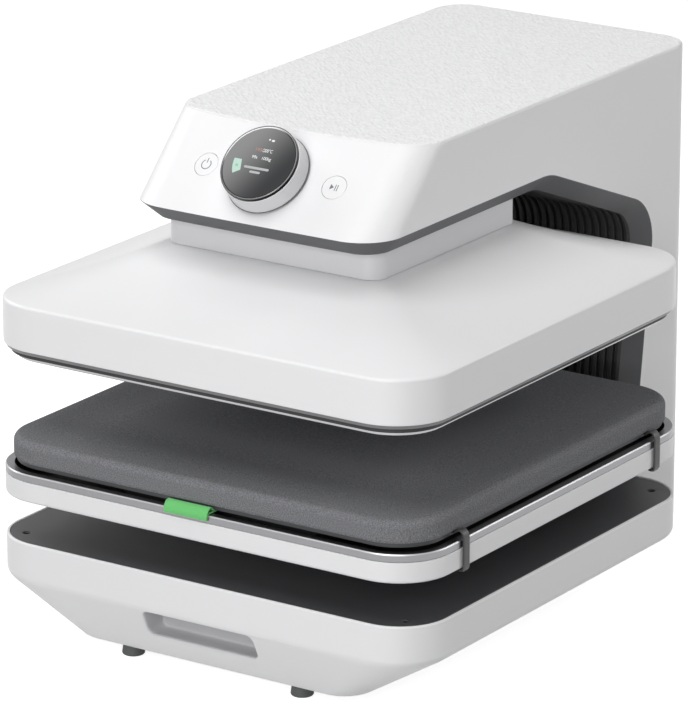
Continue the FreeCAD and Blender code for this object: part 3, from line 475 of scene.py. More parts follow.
def woven_emboss(material, place, colour):
    """Weave of small plates set on the two diagonals: cells measured by the longer of their two offsets, each
    with its own random height and a groove round it, and the two sets added up. It holds only where the
    surface lies at the top level, and there the colour is painted lighter as light on the top, most on the
    plates, so that the grooves keep a painted shade."""
    heights, crowns = 0.0, 0.0
    for turn, share in ((-44, 0.62), (46, 0.5)):
        diagonal = add_node(material, "Mapping", vector_type="TEXTURE", Vector=place,
                            Rotation=(0, 0, math.radians(turn)), Scale=(1.45, 0.55, 1.0))
        plates = add_node(material, "TexVoronoi", distance="CHEBYCHEV", Vector=diagonal.outputs[0],
                          Scale=205.0, Randomness=0.8)
        own = add_node(material, "SeparateColor", Color=plates.outputs["Color"]).outputs[0]
        crown = mapped(material, plates.outputs["Distance"], 1.0, 0.0, From_Min=0.25, From_Max=0.62)
        plate = calculated(material, "MULTIPLY_ADD", own, 0.45, crown)
        heights = calculated(material, "MULTIPLY_ADD", plate, share, heights)
        crowns = calculated(material, "MULTIPLY_ADD", crown, share, crowns)
    level = add_node(material, "SeparateXYZ", Vector=place).outputs["Z"]
    at_top = mapped(material, level, 0.0, 1.0, From_Min=emboss_level, From_Max=emboss_level + emboss_fade)
    painted_top_light = calculated(material, "MULTIPLY", mapped(material, crowns, 0.25, 0.97, From_Max=1.12), at_top)
    # Painted light: the top is made lighter than the shell's white, most on the plates, so the grooves keep a
    # painted shade.
    feed(material, Base_Color=colour_between(material, painted_top_light, colour, (0.98, 0.98, 0.985, 1)))
    return raised(material, calculated(material, "MULTIPLY", heights, at_top), 0.6, 1.0)


shell_white = new_material("embossed_white_moulding", white, 0.42)
shell_place = object_place(shell_white)
shell_tone = vary(shell_white, white, 0.42, shell_place, 7.0, 0.015, 0.05)
grain_relief(shell_white, shell_place, 900.0, 0.05, 0.5, woven_emboss(shell_white, shell_place, shell_tone))
moulded_copy("body_shell", "body_moulding", shell_white, "white_shell")

# Trim and grille. A dark grey chamfer strip lines the head's underside and the
# throat's edges; between its sides a black ribbed panel closes the throat.
trim_grey = satin_plastic("trim_moulding", (0.095, 0.097, 0.101), 0.55, 1100.0, 0.08)
moulded_copy("throat_trim", "trim_strip", trim_grey, "dark_trim", 28)
grille_black = satin_plastic("grille_moulding", (0.055, 0.055, 0.058), 0.45, 1100.0, 0.06)
moulded_copy("throat_grille", "ribbed_grille", grille_black, "black_grille", 28, 0.5)

# Back of the column. A white cover with two banks of cooling slots, six screws,
# the appliance inlet and the mains switch; a fan draws air through the upper slots.
core_black = satin_plastic("black_moulding", (0.02, 0.02, 0.021), 0.4, 1200.0, 0.05)
fan_black = satin_plastic("fan_moulding", (0.015, 0.015, 0.016), 0.35, 1200.0, 0.04)
moulded_copy("rear_cover", "rear_cover_panel", white_plastic, "white_shell", edge=0.35)
moulded_copy("cover_screws", "cover_screw_set", blackened, "screw_black", edge=0.15)
moulded_copy("power_inlet", "inlet_socket", core_black, "core_black", edge=0.3)
moulded_copy("switch_housing", "switch_case", core_black, "core_black", edge=0.3)
moulded_copy("rocker_switch", "switch_rocker", core_black, "core_black", edge=0.3)
moulded_copy("fan_frame", "fan_case", fan_black, "fan_black", edge=0.3)
moulded_copy("fan_rotor", "fan_wheel", fan_black, "fan_black", edge=0.2)

# Bed tray and its rim. A shallow white tray bolted on the steel arm, with a
# silver rim on its edge: a brushed upright side and a bright-cut chamfer.
press_y = -67.0
tray_half, tray_r = (200.9, 202.1), 44.5
tray_low, tray_top, tray_floor = 116.0, 132.6, 118.5
rim_low, rim_top, rim_chamfer, rim_width = 132.95, 139.0, 0.9, 7.5


def press_rings(half, r, line, smallest=0.5):
    """Rings about the press's middle from a line of inset and height. The corners shrink by the inset."""
    inset, z = np.asarray(line, float).T
    return round_rings(half[0] - inset, press_y - half[1] + inset, press_y + half[1] - inset,
                       np.clip(r - inset, smallest, None), z)


def press_piece(name, half, r, line, *finish, closed=False):
    """Finished piece from such rings, open ones being closed by a flat face at each end."""
    return finish_piece(skin(name, press_rings(half, r, line), closed, () if closed else both_ends), *finish)


def closed_line(points, radii, steps, hold):
    """Rounded line that comes back to its first point, which isn't repeated."""
    return rounded_line(points + points[:1], radii, steps, hold)[:-1]


def middles(line):
    """Middles of a closed line's runs, as one array for each of its two measures."""
    return (line + np.roll(line, -1, axis=0)).T / 2


tray_line = rounded_line([(20, tray_low), (0, tray_low), (0, tray_top), (3, tray_top), (3, tray_floor),
                          (30, tray_floor)], [2.2, 0.35, 0.3, 1], hold=0.3)
bed_tray = press_piece("bed_tray_moulding", tray_half, tray_r, tray_line, white_plastic, "white_shell",
                       "bed_tray")
# Painted shade: the tray's inner wall and floor take the charcoal, so that the gap round the deck reads
# black.
painted_shade_rows = (tray_line[:-1, 0] > 2.5) & (tray_line[:-1, 1] > tray_low + 1)
paint_rows(bed_tray, painted_shade_rows, (0, 1), charcoal)

rim_silver = new_material("brushed_rim", (0.265, 0.265, 0.275), 0.3, 1.0)
stretch = add_node(rim_silver, "Mapping", Vector=object_place(rim_silver), Scale=(6.0, 6.0, 2600.0))
brush = noise(rim_silver, stretch.outputs[0], 1.0, 3.0)
feed(rim_silver, Anisotropic=0.4, Roughness=mapped(rim_silver, brush, 0.22, 0.4))
raised(rim_silver, brush, 0.02, 0.6)
bright_cut = drifting("bright_cut_edge", (0.48, 0.48, 0.49), 0.36, 1.0, (20.0, 0.03, 0.02))
rim_line = closed_line([(2, rim_low), (0.15, rim_low), (0.15, rim_top - rim_chamfer),
                        (rim_chamfer + 0.1, rim_top), (rim_width, rim_top), (rim_width, rim_low)],
                       [0.25, 0.1, 0.1, 0.3, 0.2], 4, 0.05)
bed_rim = press_piece("bed_rim", tray_half, tray_r, rim_line, rim_silver, "rim_silver", "tray_rim",
                      closed=True)
run_inset, run_z = middles(rim_line)
cut = (run_z > rim_top - rim_chamfer) & (run_inset < rim_chamfer + 0.1)
paint_rows(bed_rim, cut, (), bright_cut)
runner_grey = satin_plastic("runner_plastic", (0.35, 0.35, 0.36), 0.4)
moulded_copy("deck_runners", "deck_runner_bars", runner_grey, "runner_plastic", edge=0.4)

# Deck. A thin charcoal sheet under the pad that slides out over the rim on
# two runners, with the pad bonded to it.
deck_half, deck_r, deck_low, deck_top = (192.4, 193.4), 38.0, 141.2, 145.0
deck_line = rounded_line([(20, deck_low), (0, deck_low), (0, deck_top), (20, deck_top)], [0.5, 0.5], 4, 0.4)
press_piece("deck_sheet", deck_half, deck_r, deck_line, charcoal, "deck_grey", "deck_plate")

# Pad. A firm charcoal mat of fine-grained silicone foam, moulded in one: sides
# drawn in at the foot, a full round shoulder, and a face that crowns to the middle.
pad_half, pad_r = (194.7, 195.7), 40.0
pad_shoulder, pad_face, pad_crown = 14.0, 162.5, 2.4


def pad_rings():
    """Rings from the foot up the side, round the shoulder and over the face. The face rises with the share s
    of the way to the middle as the crown times (1 - (1 - s) cubed), and the corners keep a radius of the
    shoulder's width."""
    side = rounded_line([(12, 145.05), (0.5, 145.05), (0, 147.0), (0, 162.3), (pad_shoulder, pad_face)],
                        [0.4, 0.8, 5.8], 8, 0.3)
    s = np.linspace(0.06, 1, 16)
    face = np.stack([pad_shoulder + s * 150, pad_face + pad_crown * (1 - (1 - s) ** 3)], 1)
    return press_rings(pad_half, pad_r, np.concatenate([side, face]), pad_shoulder)


def stepped_tone(material, share, low, high, low_at=0.0, high_at=1.0):
    """Base colour that goes from one colour to another between two levels of a share."""
    ramp = add_node(material, "ValToRGB", Fac=share)
    for k, (at, colour) in enumerate(((low_at, low), (high_at, high))):
        ramp.color_ramp.elements[k].position = at
        ramp.color_ramp.elements[k].color = (*colour, 1)
    feed(material, Base_Color=ramp.outputs["Color"])


pad_foam = new_material("silicone_foam", (0.2, 0.203, 0.213), 0.85)
feed(pad_foam, Specular_IOR_Level=0.12)
cells = noise(pad_foam, object_place(pad_foam), 1100.0, 2.0, Roughness=0.55)
stepped_tone(pad_foam, cells, (0.14, 0.142, 0.15), (0.265, 0.269, 0.282), 0.34, 0.68)
raised(pad_foam, cells, 0.15, 0.4)
pad = finish_piece(skin("foam_pad", pad_rings(), caps=both_ends), pad_foam, "pad_foam", "press_pad")

# Deck clips. Four sprung straps of black plastic from the deck's edge, over
# the rim, down the tray's side and hooked under it.
clip_black = satin_plastic("clip_plastic", (0.04, 0.04, 0.042), 0.45, 1300.0, 0.06)
clip_thick, clip_wide = 1.6, 8.0
clip_line = np.array([(192.6, 143.3), (194.2, 143.3), (195.9, 144.6), (197.6, 145.6), (199.8, 145.2),
                      (201.6, 143.4), (202.55, 140.6), (202.6, 136), (202.6, 128), (202.6, 120),
                      (202.5, 116.2), (201.6, 114.4), (199.6, 114.1), (197.2, 114.2)])


def clip(side, y):
    """Flat strap with round edges along the clip's line in an upright plane. At each point the section is a
    rounded bar: half the thickness along the line's normal, half the width across, as a power ellipse."""
    tangent = np.gradient(clip_line, axis=0)
    tangent /= np.linalg.norm(tangent, axis=1, keepdims=True)
    normal = np.stack([tangent[:, 1], -tangent[:, 0]], 1)
    a = np.linspace(0, 2 * np.pi, 28, endpoint=False)
    u = np.sign(np.cos(a)) * np.abs(np.cos(a)) ** 0.45 * clip_thick / 2
    v = np.sign(np.sin(a)) * np.abs(np.sin(a)) ** 0.3 * clip_wide / 2
    ends = np.ones((len(clip_line), 1))
    ends[[0, -1]] = 0.72
    out, up = (clip_line[:, None, k] + normal[:, None, k] * u * ends for k in (0, 1))
    rings = np.stack([out * side, y + v * ends ** 0.3, up], -1)
    return skin("clip", rings if side < 0 else rings[:, ::-1], caps=both_ends, sharp=60)


clips = [clip(side, y) for side in (-1, 1) for y in (-204.0, 74.0)]
finish_piece(joined("clip_straps", clips), clip_black, "clip_black", "deck_clips")

# Pull tab. A loop of bright green woven ribbon, both ends sewn under the deck,
# that bulges out over the rim so that the deck can be drawn forward.
tab_from, tab_to, tab_thick, tab_sag = -27.0, 13.0, 0.7, 0.15
tab_path = np.array([(-250, 140.75), (-256, 140.75), (-260.6, 140.75), (-261.9, 142.0), (-262.6, 143.4),
                     (-264.4, 144.2), (-266.9, 143.5), (-269.1, 141.4), (-270.4, 138.6), (-270.65, 135.8),
                     (-270.2, 134.6), (-269.7, 135.6), (-269.65, 138.0), (-268.7, 139.6), (-265, 140.0),
                     (-260, 139.8), (-250, 139.8)])


def ribbon_grid(path, low, high, steps=26, runs=90):
    """Sheet of points: the path divided evenly along its length, each point then averaged three times with
    its neighbours, half its own and a quarter of each, and carried across X. The edges sag as a parabola."""
    length = np.concatenate([[0], np.cumsum(np.linalg.norm(np.diff(path, axis=0), axis=1))])
    t = np.linspace(0, length[-1], runs)
    smooth = np.stack([np.interp(t, length, path[:, k]) for k in (0, 1)], 1)
    for _ in range(3):
        smooth[1:-1] = smooth[1:-1] * 0.5 + (smooth[:-2] + smooth[2:]) * 0.25
    x = np.linspace(low, high, steps)
    bend = tab_sag * ((x - (low + high) / 2) / ((high - low) / 2)) ** 2
    y = smooth[:, :1] + bend[None] * np.sin(np.linspace(0, np.pi, runs))[:, None]
    travel = np.sum(np.linalg.norm(np.diff(smooth, axis=0), axis=1))
    return np.stack([x + 0 * y, y, smooth[:, 1:] + 0 * x], -1), travel


def open_sheet(name, grid):
    """Open grid of quads, with a UV map in millimetres across and along, which the weave follows."""
    rows, across = grid.shape[:2]
    quads = grid_quads(rows, across, rows - 1, across - 1)
    mesh = point_mesh(name, grid, quads.tolist())
    shade_smooth(mesh)
    along = np.concatenate([[0], np.cumsum(np.linalg.norm(np.diff(grid[:, 0], axis=0), axis=1))])
    u = np.repeat((grid[0, :, 0] - grid[0, 0, 0])[None], rows, 0)
    v = np.repeat(along[:, None], across, 1)
    uv = np.stack([u, v], -1).reshape(-1, 2)[quads.reshape(-1)]
    mesh.uv_layers.new(name="weave").data.foreach_set("uv", uv.reshape(-1))
    return added(name, mesh)


ribbon = new_material("green_ribbon_weave", (0.12, 0.68, 0.15), 0.55)
feed(ribbon, Sheen_Weight=0.3)
weave_place = add_node(ribbon, "TexCoord").outputs["UV"]
warp, weft = (add_node(ribbon, "TexWave", bands_direction=way, Vector=weave_place, Scale=0.55).outputs["Fac"]
              for way in ("X", "Y"))
threads = calculated(ribbon, "MULTIPLY", warp, weft)
stepped_tone(ribbon, threads, (0.11, 0.53, 0.13), (0.24, 0.83, 0.27))
raised(ribbon, threads, 0.2, 0.8)
tab_grid, tab_length = ribbon_grid(tab_path, tab_from, tab_to)
tab = open_sheet("ribbon_tab", tab_grid)
cloth = tab.modifiers.new("cloth thickness", "SOLIDIFY")
cloth.thickness = tab_thick * 0.001
cloth.offset = 0
finish_piece(tab, ribbon, "green_ribbon", "pull_tab")

# Drive. A motor turns the lead screw through two gears, and four ground rods
# guide the platen; ground steel, turned bronze and a black motor can.
bright_steel = drifting("ground_steel", (0.56, 0.56, 0.58), 0.28, 1.0, (60.0, 0.05, 0.08),
                        (2500.0, 0.02, 0.4))
bronze = drifting("turned_bronze", (0.5, 0.33, 0.14), 0.35, 1.0, (50.0, 0.1, 0.08))
motor_can = drifting("motor_can", (0.04, 0.04, 0.045), 0.4, 0.6, (40.0, 0.1, 0.08))
dress(bright_steel, "guide_rods", "lead_screw", "screw_gear", "motor_pinion", "screw_bearings", "load_cell",
      "platen_standoffs", "platen_sensors")
dress(bronze, "lead_nut", "guide_bushes")
dress(motor_can, "gear_motor")
dress(frame_coat, "carrier_plate")

# Platen. A hard-coated aluminium heat plate with a mica heater and board above
# it, closed by a rubber gasket, a grey ring and the white cover.
plate_half, plate_r, plate_low, plate_top, plate_chamfer = (190.5, 194.5), 38.0, 228.5, 237.5, 0.5
cover_half, cover_r = (200.0, 204.0), 46.5
neck_half, neck_r = (98.4, 100.5), 14.0
ring_low, cover_low, cover_edge, neck_low = 235.9, 239.0, 275.0, 311.0
plate_metal = drifting("hard_coated_casting", (0.4, 0.4, 0.41), 0.27, 1.0, (20.0, 0.05, 0.04),
                       (1800.0, 0.03, 0.5))
plate_line = rounded_line([(30, plate_low), (plate_chamfer, plate_low), (0, plate_low + plate_chamfer),
                           (0, plate_top), (30, plate_top)], [0.2, 0.2, 0.3], 4, 0.2)
press_piece("heat_plate_casting", plate_half, plate_r, plate_line, plate_metal, "plate_aluminium",
            "heat_plate")
gasket_black = satin_plastic("gasket_rubber", (0.022, 0.022, 0.023), 0.6, 1500.0, 0.08)
moulded_copy("plate_gasket", "gasket_strip", gasket_black, "gasket_rubber")
mica = drifting("mica_board", (0.5, 0.43, 0.3), 0.6, 0.0, (80.0, 0.25, 0.1))
dress(mica, "heater_element", "insulation_board")
ring_grey = satin_plastic("ring_moulding", (0.20, 0.20, 0.207), 0.4)
ring_line = closed_line([(4, ring_low), (2.4, ring_low), (0.6, cover_low), (2.8, cover_low), (2.8, 243.8),
                         (5.7, 243.8), (5.7, ring_low)], [0.4, 0.25, 0, 0.3, 0.3, 0.4], 4, 0.2)
press_piece("cover_trim_ring", cover_half, cover_r, ring_line, ring_grey, "ring_grey", "platen_trim_ring",
            closed=True)


def cover_rings():
    """Rings of the white cover. The skirt is upright. The crown runs from its edge to the neck's foot: with s
    the share of that way, its outline goes evenly from the one to the other and its rise is 0.75 s + 0.25 s
    squared of the full rise. The inner face repeats it, smaller by the wall."""
    edge, foot, wall = 1.2, 2.0, 2.5
    reach = [c - edge - n - foot for c, n in zip(cover_half, neck_half)]
    rise = neck_low - cover_edge

    def crown(s, inset, drop):
        r = cover_r - edge - s * (cover_r - edge - neck_r - foot) - inset
        hx = cover_half[0] - edge - s * reach[0] - inset
        hy = cover_half[1] - edge - s * reach[1] - inset
        return hx, hy, r, cover_edge + rise * (0.75 * s + 0.25 * s * s) - drop

    def skirt(line):
        inset, z = line.T
        return cover_half[0] - inset, cover_half[1] - inset, cover_r - inset, z

    start = cover_edge - 0.35
    over = rounded_line([(0, 260), (0, start), (24, start + 24 * rise * 0.75 / reach[0])], [2.6], 7, 0.7)[:-1]
    up = rounded_line([(wall, cover_low + 0.4), (wall, cover_low), (0, cover_low), (0, 250)], [0, 0.7],
                      4, 0.4)[1:]
    s_out, s_in = np.linspace(0.045, 1, 22), np.linspace(1, 0.04, 14)
    parts = [skirt(up), skirt(over), crown(s_out, 0, 0), crown(np.array([1.0]), 4.0, 0.0),
             crown(s_in, wall, 3), skirt(np.array([(wall, cover_edge - 5), (wall, cover_low + 0.4)]))]
    hx, hy, r, z = (np.concatenate([p[k] for p in parts]) for k in range(4))
    return round_rings(hx, press_y - hy, press_y + hy, np.clip(r, 0.5, None), z, 18)


cover_white = satin_plastic("cover_moulding", (0.85, 0.85, 0.86), 0.34, 1000.0, 0.03)
finish_piece(skin("platen_cover_moulding", cover_rings(), closed=True), cover_white, "white_shell",
             "platen_cover")

# Neck. Two light grey square tubes that telescope as the platen drops: the
# outer one stands on the cover, the sleeve slides inside it.
neck_top, sleeve_low, sleeve_top = 362.0, 314.0, 364.0
neck_grey = satin_plastic("neck_moulding", (0.70, 0.70, 0.715), 0.4)
neck_line = closed_line([(1.2, neck_low), (0, neck_low + 0.6), (0, neck_top), (2.5, neck_top),
                         (2.5, neck_low)], [0.4, 0.5, 0.5, 0.2], 4, 0.3)
press_piece("neck_tube", neck_half, neck_r, neck_line, neck_grey, "neck_grey", "neck_shroud", closed=True)
sleeve_line = closed_line([(4, sleeve_low), (3, sleeve_low), (3, sleeve_top), (5, sleeve_top),
                           (5, sleeve_low)], [0.4, 0.5, 0.5, 0.4], 4, 0.3)
press_piece("neck_sleeve_tube", neck_half, neck_r, sleeve_line, neck_grey, "neck_grey", "neck_sleeve",
            closed=True)

# Dial. A white ring that turns round a fixed display under smoked glass, with a
# thin dark chrome bezel; the whole dial presses in by a millimetre. The ring's
# wall is painted a darker grey than its ledge as shade, and the band at its foot
# nearly black as a painted shadow. The glass glows with a painted glare, and the
# bezel and the glass's edge carry painted reflections and glints, all lighter
# up and to the left.
across = np.array([1.0, 0, 0])
panel_foot, panel_run = np.array([0, -197.0, 348.3]), np.array([0, 58.0, 61.8])
slope = panel_run / np.linalg.norm(panel_run)
panel_out = np.array([0, -slope[2], slope[1]])
dial_middle = panel_foot + slope * 43.5
shadow_band_z, shadow_band_r, ledge_z, ledge_r = 2.1, 34.5, 15.7, 31.0
bezel_r, bezel_foot, bezel_top = 32.25, ledge_z + 0.02, 18.3
edge_r, face_edge_r, glint_r, edge_z = 31.75, 31.0, 30.15, 18.35
painted_glare_way = np.array([-0.88, 0, 0]) + 0.475 * slope
glint_way = np.array([-0.61, 0, 0]) + 0.79 * slope


def dial_turned(name, profile, closed=True, caps=()):
    """Profile of radius and height above the panel carried round the dial's axis."""
    a = np.linspace(0, 2 * np.pi, 96, endpoint=False)
    spoke = np.cos(a)[:, None] * across + np.sin(a)[:, None] * slope
    grid = dial_middle + profile[:, None, :1] * spoke[None] + profile[:, None, 1:] * panel_out
    return skin(name, grid, closed, caps)


def along_painted_glare(material, start, end, low, high, way=painted_glare_way):
    """Value that goes softly from low to high along a way up and to the left over the dial, start and end
    being millimetres from its middle. It lays the painted glare, reflections and glints on the dial."""
    run = add_node(material, "VectorMath", operation="DOT_PRODUCT", i0=object_place(material), i1=way * 1000)
    middle = dial_middle @ way
    return mapped(material, run.outputs["Value"], low, high, interpolation_type="SMOOTHSTEP",
                  From_Min=middle + start, From_Max=middle + end)


def painted_glare_greys(material, share, dark, light):
    """Base colour that goes from a dark grey to a light one with a share, for painted reflections and glints.
    """
    greys = (dark, dark, dark * 1.03, 1), (light, light, light * 1.02, 1)
    feed(material, Base_Color=colour_between(material, share, *greys))


def glass_height(r):
    """The glass's face: level at its rim and a fraction of a millimetre higher in the middle."""
    return edge_z + 0.05 * (1 - (r / face_edge_r) ** 2)


# Lit and shaded copies of the ring's white: the wall is painted a darker grey as shade, and the ledge keeps
# the lit white.
dial_wall_shade = satin_plastic("dial_moulding_painted_shade", (0.70, 0.70, 0.715), 0.35, 1100.0, 0.03)
ledge_lit_white = satin_plastic("dial_ledge_lit", (0.86, 0.86, 0.87), 0.35, 1100.0, 0.03)
# Painted shadow: the band at the ring's foot is nearly black, standing in for the shade in the gap under it.
painted_foot_shadow = satin_plastic("dial_foot_painted_shadow", (0.11, 0.11, 0.113), 0.6, 1100.0, 0.05)
ring_profile = closed_line([(33, 1.6), (shadow_band_r, 1.6), (shadow_band_r, shadow_band_z), (33.95, shadow_band_z), (32.75, ledge_z),
                            (ledge_r, ledge_z), (ledge_r, 5.8), (29.06, 5.8), (29.06, 3.2), (ledge_r, 3.2),
                            (ledge_r, 1.6)], [0.15, 0.15, 0.05, 0.3, 0.2, 0, 0.2, 0.2, 0, 0.3], 4, 0.1)
dial_ring = finish_piece(dial_turned("dial_ring_moulding", ring_profile), dial_wall_shade, "white_shell",
                         "dial_ring")
ring_r, ring_z = middles(ring_profile)
on_ledge = (ring_z > ledge_z - 0.35) & (ring_r > ledge_r + 0.5)
in_foot_shadow = (ring_z < shadow_band_z + 0.02) & (ring_r > 32)
# Rows of the ledge take the lit white, and rows of the foot band the painted shadow.
paint_rows(dial_ring, on_ledge + 2 * in_foot_shadow, (), ledge_lit_white, painted_foot_shadow)

chrome = new_material("dark_chrome_bezel_painted_glare", (0.07, 0.07, 0.075), 0.3, 1.0)
# Painted reflection: the bezel goes from near black to light grey up and to the left over the dial.
painted_glare_greys(chrome, along_painted_glare(chrome, -8, 26, 0.0, 1.0), 0.012, 0.35)
bezel_profile = closed_line([(32.1, bezel_foot), (bezel_r, bezel_foot), (bezel_r, bezel_top),
                             (31.95, bezel_top), (31.95, bezel_foot)], [0.05, 0.1, 0.08, 0.05], 4, 0.03)
finish_piece(dial_turned("dial_bezel_ring", bezel_profile), chrome, "bezel_chrome", "dial_bezel")
moulded_copy("dial_core", "dial_core_disc", core_black, "core_black")
moulded_copy("display_module", "display_can", core_black, "core_black")

glass = new_material("smoked_cover_glass_painted_glare", (0.012, 0.013, 0.015), 0.06)
smudge = noise(glass, object_place(glass), 55.0, 4.0)
# The glass glows with a painted glare, lighter up and to the left, standing in for a reflection.
feed(glass, Specular_IOR_Level=0.4, Roughness=mapped(glass, smudge, 0.04, 0.12), Emission_Color=(1, 1, 1, 1),
     Emission_Strength=along_painted_glare(glass, -24, 27, 0.014, 0.25))
ground_edge_and_glint = drifting("ground_glass_edge_painted_glint", (0.3, 0.305, 0.31), 0.2, 0.0, (80.0, 0.0, 0.05))
# Painted glint: the grey ground edge goes to near white up and to the left.
painted_glare_greys(ground_edge_and_glint, along_painted_glare(ground_edge_and_glint, 2, 24, 0.0, 1.0, glint_way), 0.3, 0.98)
glint = drifting("painted_glint_glass_rim", (0.02, 0.02, 0.02), 0.12, 0.0, (80.0, 0.0, 0.04))
# Painted glint: the rim goes from near black to near white up and to the left.
painted_glare_greys(glint, along_painted_glare(glint, 12, 26, 0.0, 1.0, glint_way), 0.012, 0.98)
edge_profile = rounded_line([(0.4, 14), (30.0, 14), (30.0, 17.1), (edge_r, 17.1), (edge_r, 17.7),
                             (face_edge_r, edge_z)], [0.1, 0.1, 0.2, 0.15], 5, 0.08)
face_r = np.concatenate([[face_edge_r - 0.1, glint_r], np.linspace(glint_r - 0.3, 0.4, 17)])
glass_profile = np.concatenate([edge_profile, np.stack([face_r, glass_height(face_r)], 1)])
cover_glass = finish_piece(dial_turned("dial_glass", glass_profile, False, both_ends), glass, "display_glass",
                           "display_glass")
row_r, row_z = (glass_profile[:-1] + glass_profile[1:]).T / 2
row_kind = np.where(row_r > face_edge_r, 1, np.where(row_r > glint_r, 2, 0)) * (row_z > 17.68)
paint_rows(cover_glass, row_kind, (0, 0), ground_edge_and_glint, glint)

# Display. What is lit under the glass: heat, time and force as plain figures, two
# bars, two small signs at the top and a mint pill with a leaf at the left.
screen_z, mark_lift = 18.44, 0.04


def lit(name, colour, strength):
    """Lit part of the display: colour sent out by the surface, a little uneven as a printed dot screen is."""
    material = new_material(name, (0.02, 0.02, 0.02), 0.3)
    dots = noise(material, object_place(material), 1400.0, 1.0)
    low, high = ([min(c * share, 1) for c in colour] + [1] for share in (0.85, 1.15))
    feed(material, Emission_Color=colour_between(material, dots, low, high), Emission_Strength=strength)
    return material


def on_panel(points, lift):
    """Points given as x and distance up the panel from the dial's middle, set at a height above the panel."""
    return dial_middle + points[..., :1] * across + points[..., 1:2] * slope + lift * panel_out


def flat_mark(name, outlines, height):
    """Flat marks from closed outlines, each one face, lifted by a height that depends on the distance from
    the dial's middle."""
    points = np.concatenate(outlines)
    counts = np.cumsum([0] + [len(o) for o in outlines])
    faces = [list(range(a, b)) for a, b in zip(counts[:-1], counts[1:])]
    lift = height(np.linalg.norm(points, axis=1))[:, None]
    return added(name, point_mesh(name, on_panel(points, lift), faces))


def points_of(mesh):
    """Points of a mesh as rows of an array, in the mesh's own unit."""
    flat = np.zeros(len(mesh.vertices) * 3)
    mesh.vertices.foreach_get("co", flat)
    return flat.reshape(-1, 3)


def pill(x, y, width, height):
    """Closed outline of a bar with round ends."""
    r = height / 2
    a = np.linspace(-np.pi / 2, np.pi / 2, 8)
    right = np.stack([x + width / 2 - r + r * np.cos(a), y + r * np.sin(a)], 1)
    left = np.stack([x - width / 2 + r - r * np.cos(a), y - r * np.sin(a)], 1)
    return np.concatenate([right, left])


def rays(degrees):
    """Points of the unit circle at some angles."""
    return np.stack([np.cos(np.radians(degrees)), np.sin(np.radians(degrees))], 1)


def arc_band(r0, r1, start, end, cut=3.0):
    """Closed outline of a band between two radii and two angles in degrees, its four corners cut short."""
    a = np.linspace(start, end, 30)
    trimmed = a.copy()
    trimmed[[0, -1]] += (cut, -cut)
    return np.concatenate([rays(trimmed) * r1, rays(trimmed[::-1]) * r0])


def figures(name, text, x, y, size, width):
    """Figures of the display, as a flat mesh turned onto the panel: the text's x, times its width share,
    and y become x and slope."""
    curve = bpy.data.curves.new(name, "FONT")
    curve.body = text
    curve.size = size
    curve.align_x = "CENTER"
    curve.offset = 0.03
    written = added(name, curve)
    bpy.context.view_layer.update()
    mesh = bpy.data.meshes.new_from_object(written)
    bpy.data.objects.remove(written)
    laid = on_panel(points_of(mesh)[:, :2] * (width, 1) + (x, y), screen_z) * 0.001
    mesh.vertices.foreach_set("co", laid.reshape(-1))
    mesh.update()
    return added(name, mesh)


def on_display(piece, material):
    """Fixes a lit mark to the display."""
    piece.data.materials.clear()
    piece.data.materials.append(material)
    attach(piece, "dial")


def above_glass(r):
    """Height just over the glass."""
    return glass_height(r) + mark_lift


def above_mark(r):
    """Height just over another mark."""
    return above_glass(r) + mark_lift / 2


lit_white = lit("lit_white", (0.84, 0.85, 0.87), 1.0)
lit_red = lit("lit_red", (0.62, 0.26, 0.22), 0.8)
lit_mint = lit("lit_mint", (0.55, 0.78, 0.66), 0.9)
lit_leaf = lit("lit_leaf", (0.30, 0.62, 0.46), 0.9)
lit_dim = lit("lit_dim", (0.5, 0.51, 0.52), 0.9)
for name, text, x, y, size, width, colour in (("set_heat", "195", -4.9, 9.4, 3.9, 1.1, lit_red),
                                              ("full_heat", "/200°C", 3.2, 9.4, 3.9, 0.82, lit_white),
                                              ("press_time", "99s", -5.6, 2.9, 3.7, 1.0, lit_white),
                                              ("press_force", "100kg", 4.9, 2.9, 3.7, 1.0, lit_white)):
    on_display(figures(name, text, x, y, size, width), colour)
for name, outlines, height, colour in (
        ("screen_rows", [pill(0.1, -5.0, 22.6, 2.0), pill(0.1, -8.5, 9.6, 1.9)], above_glass, lit_dim),
        ("screen_signs", [pill(0.9, 20.3, 1.6, 1.6), pill(4.2, 19.8, 2.8, 1.7)], above_glass, lit_white),
        ("mode_pill", [arc_band(15.7, 22.2, 175.5, 216)], above_glass, lit_mint),
        ("mode_leaf", [pill(-17.9, -5.0, 2.6, 2.2)], above_mark, lit_leaf)):
    on_display(flat_mark(name, outlines, height), colour)

# Buttons. Two white caps beside the dial, flush with the front, each with a
# printed grey sign: a power sign on the left, start and pause on the right.
print_grey = satin_plastic("printed_grey", (0.16, 0.16, 0.17), 0.5, 1500.0, 0.02)
moulded_copy("power_button", "power_cap", white_plastic, "white_shell", edge=0.25)
moulded_copy("start_button", "start_cap", white_plastic, "white_shell", edge=0.25)
button_x, ink_lift = 58.7, 0.06


def front_depth(x, z):
    """Y of the head's front: at each height a circle through the two corners' ends and the middle, whose
    sagitta and place change evenly with height."""
    rise = (z - panel_foot[2]) / panel_run[2]
    bow = 0.8 + rise * 7.2
    chord = 116.4 - (34.0 - rise * 5.0)
    radius = (chord ** 2 + bow ** 2) / (2 * bow)
    return panel_foot[1] + rise * panel_run[1] + radius - np.sqrt(radius ** 2 - x ** 2)


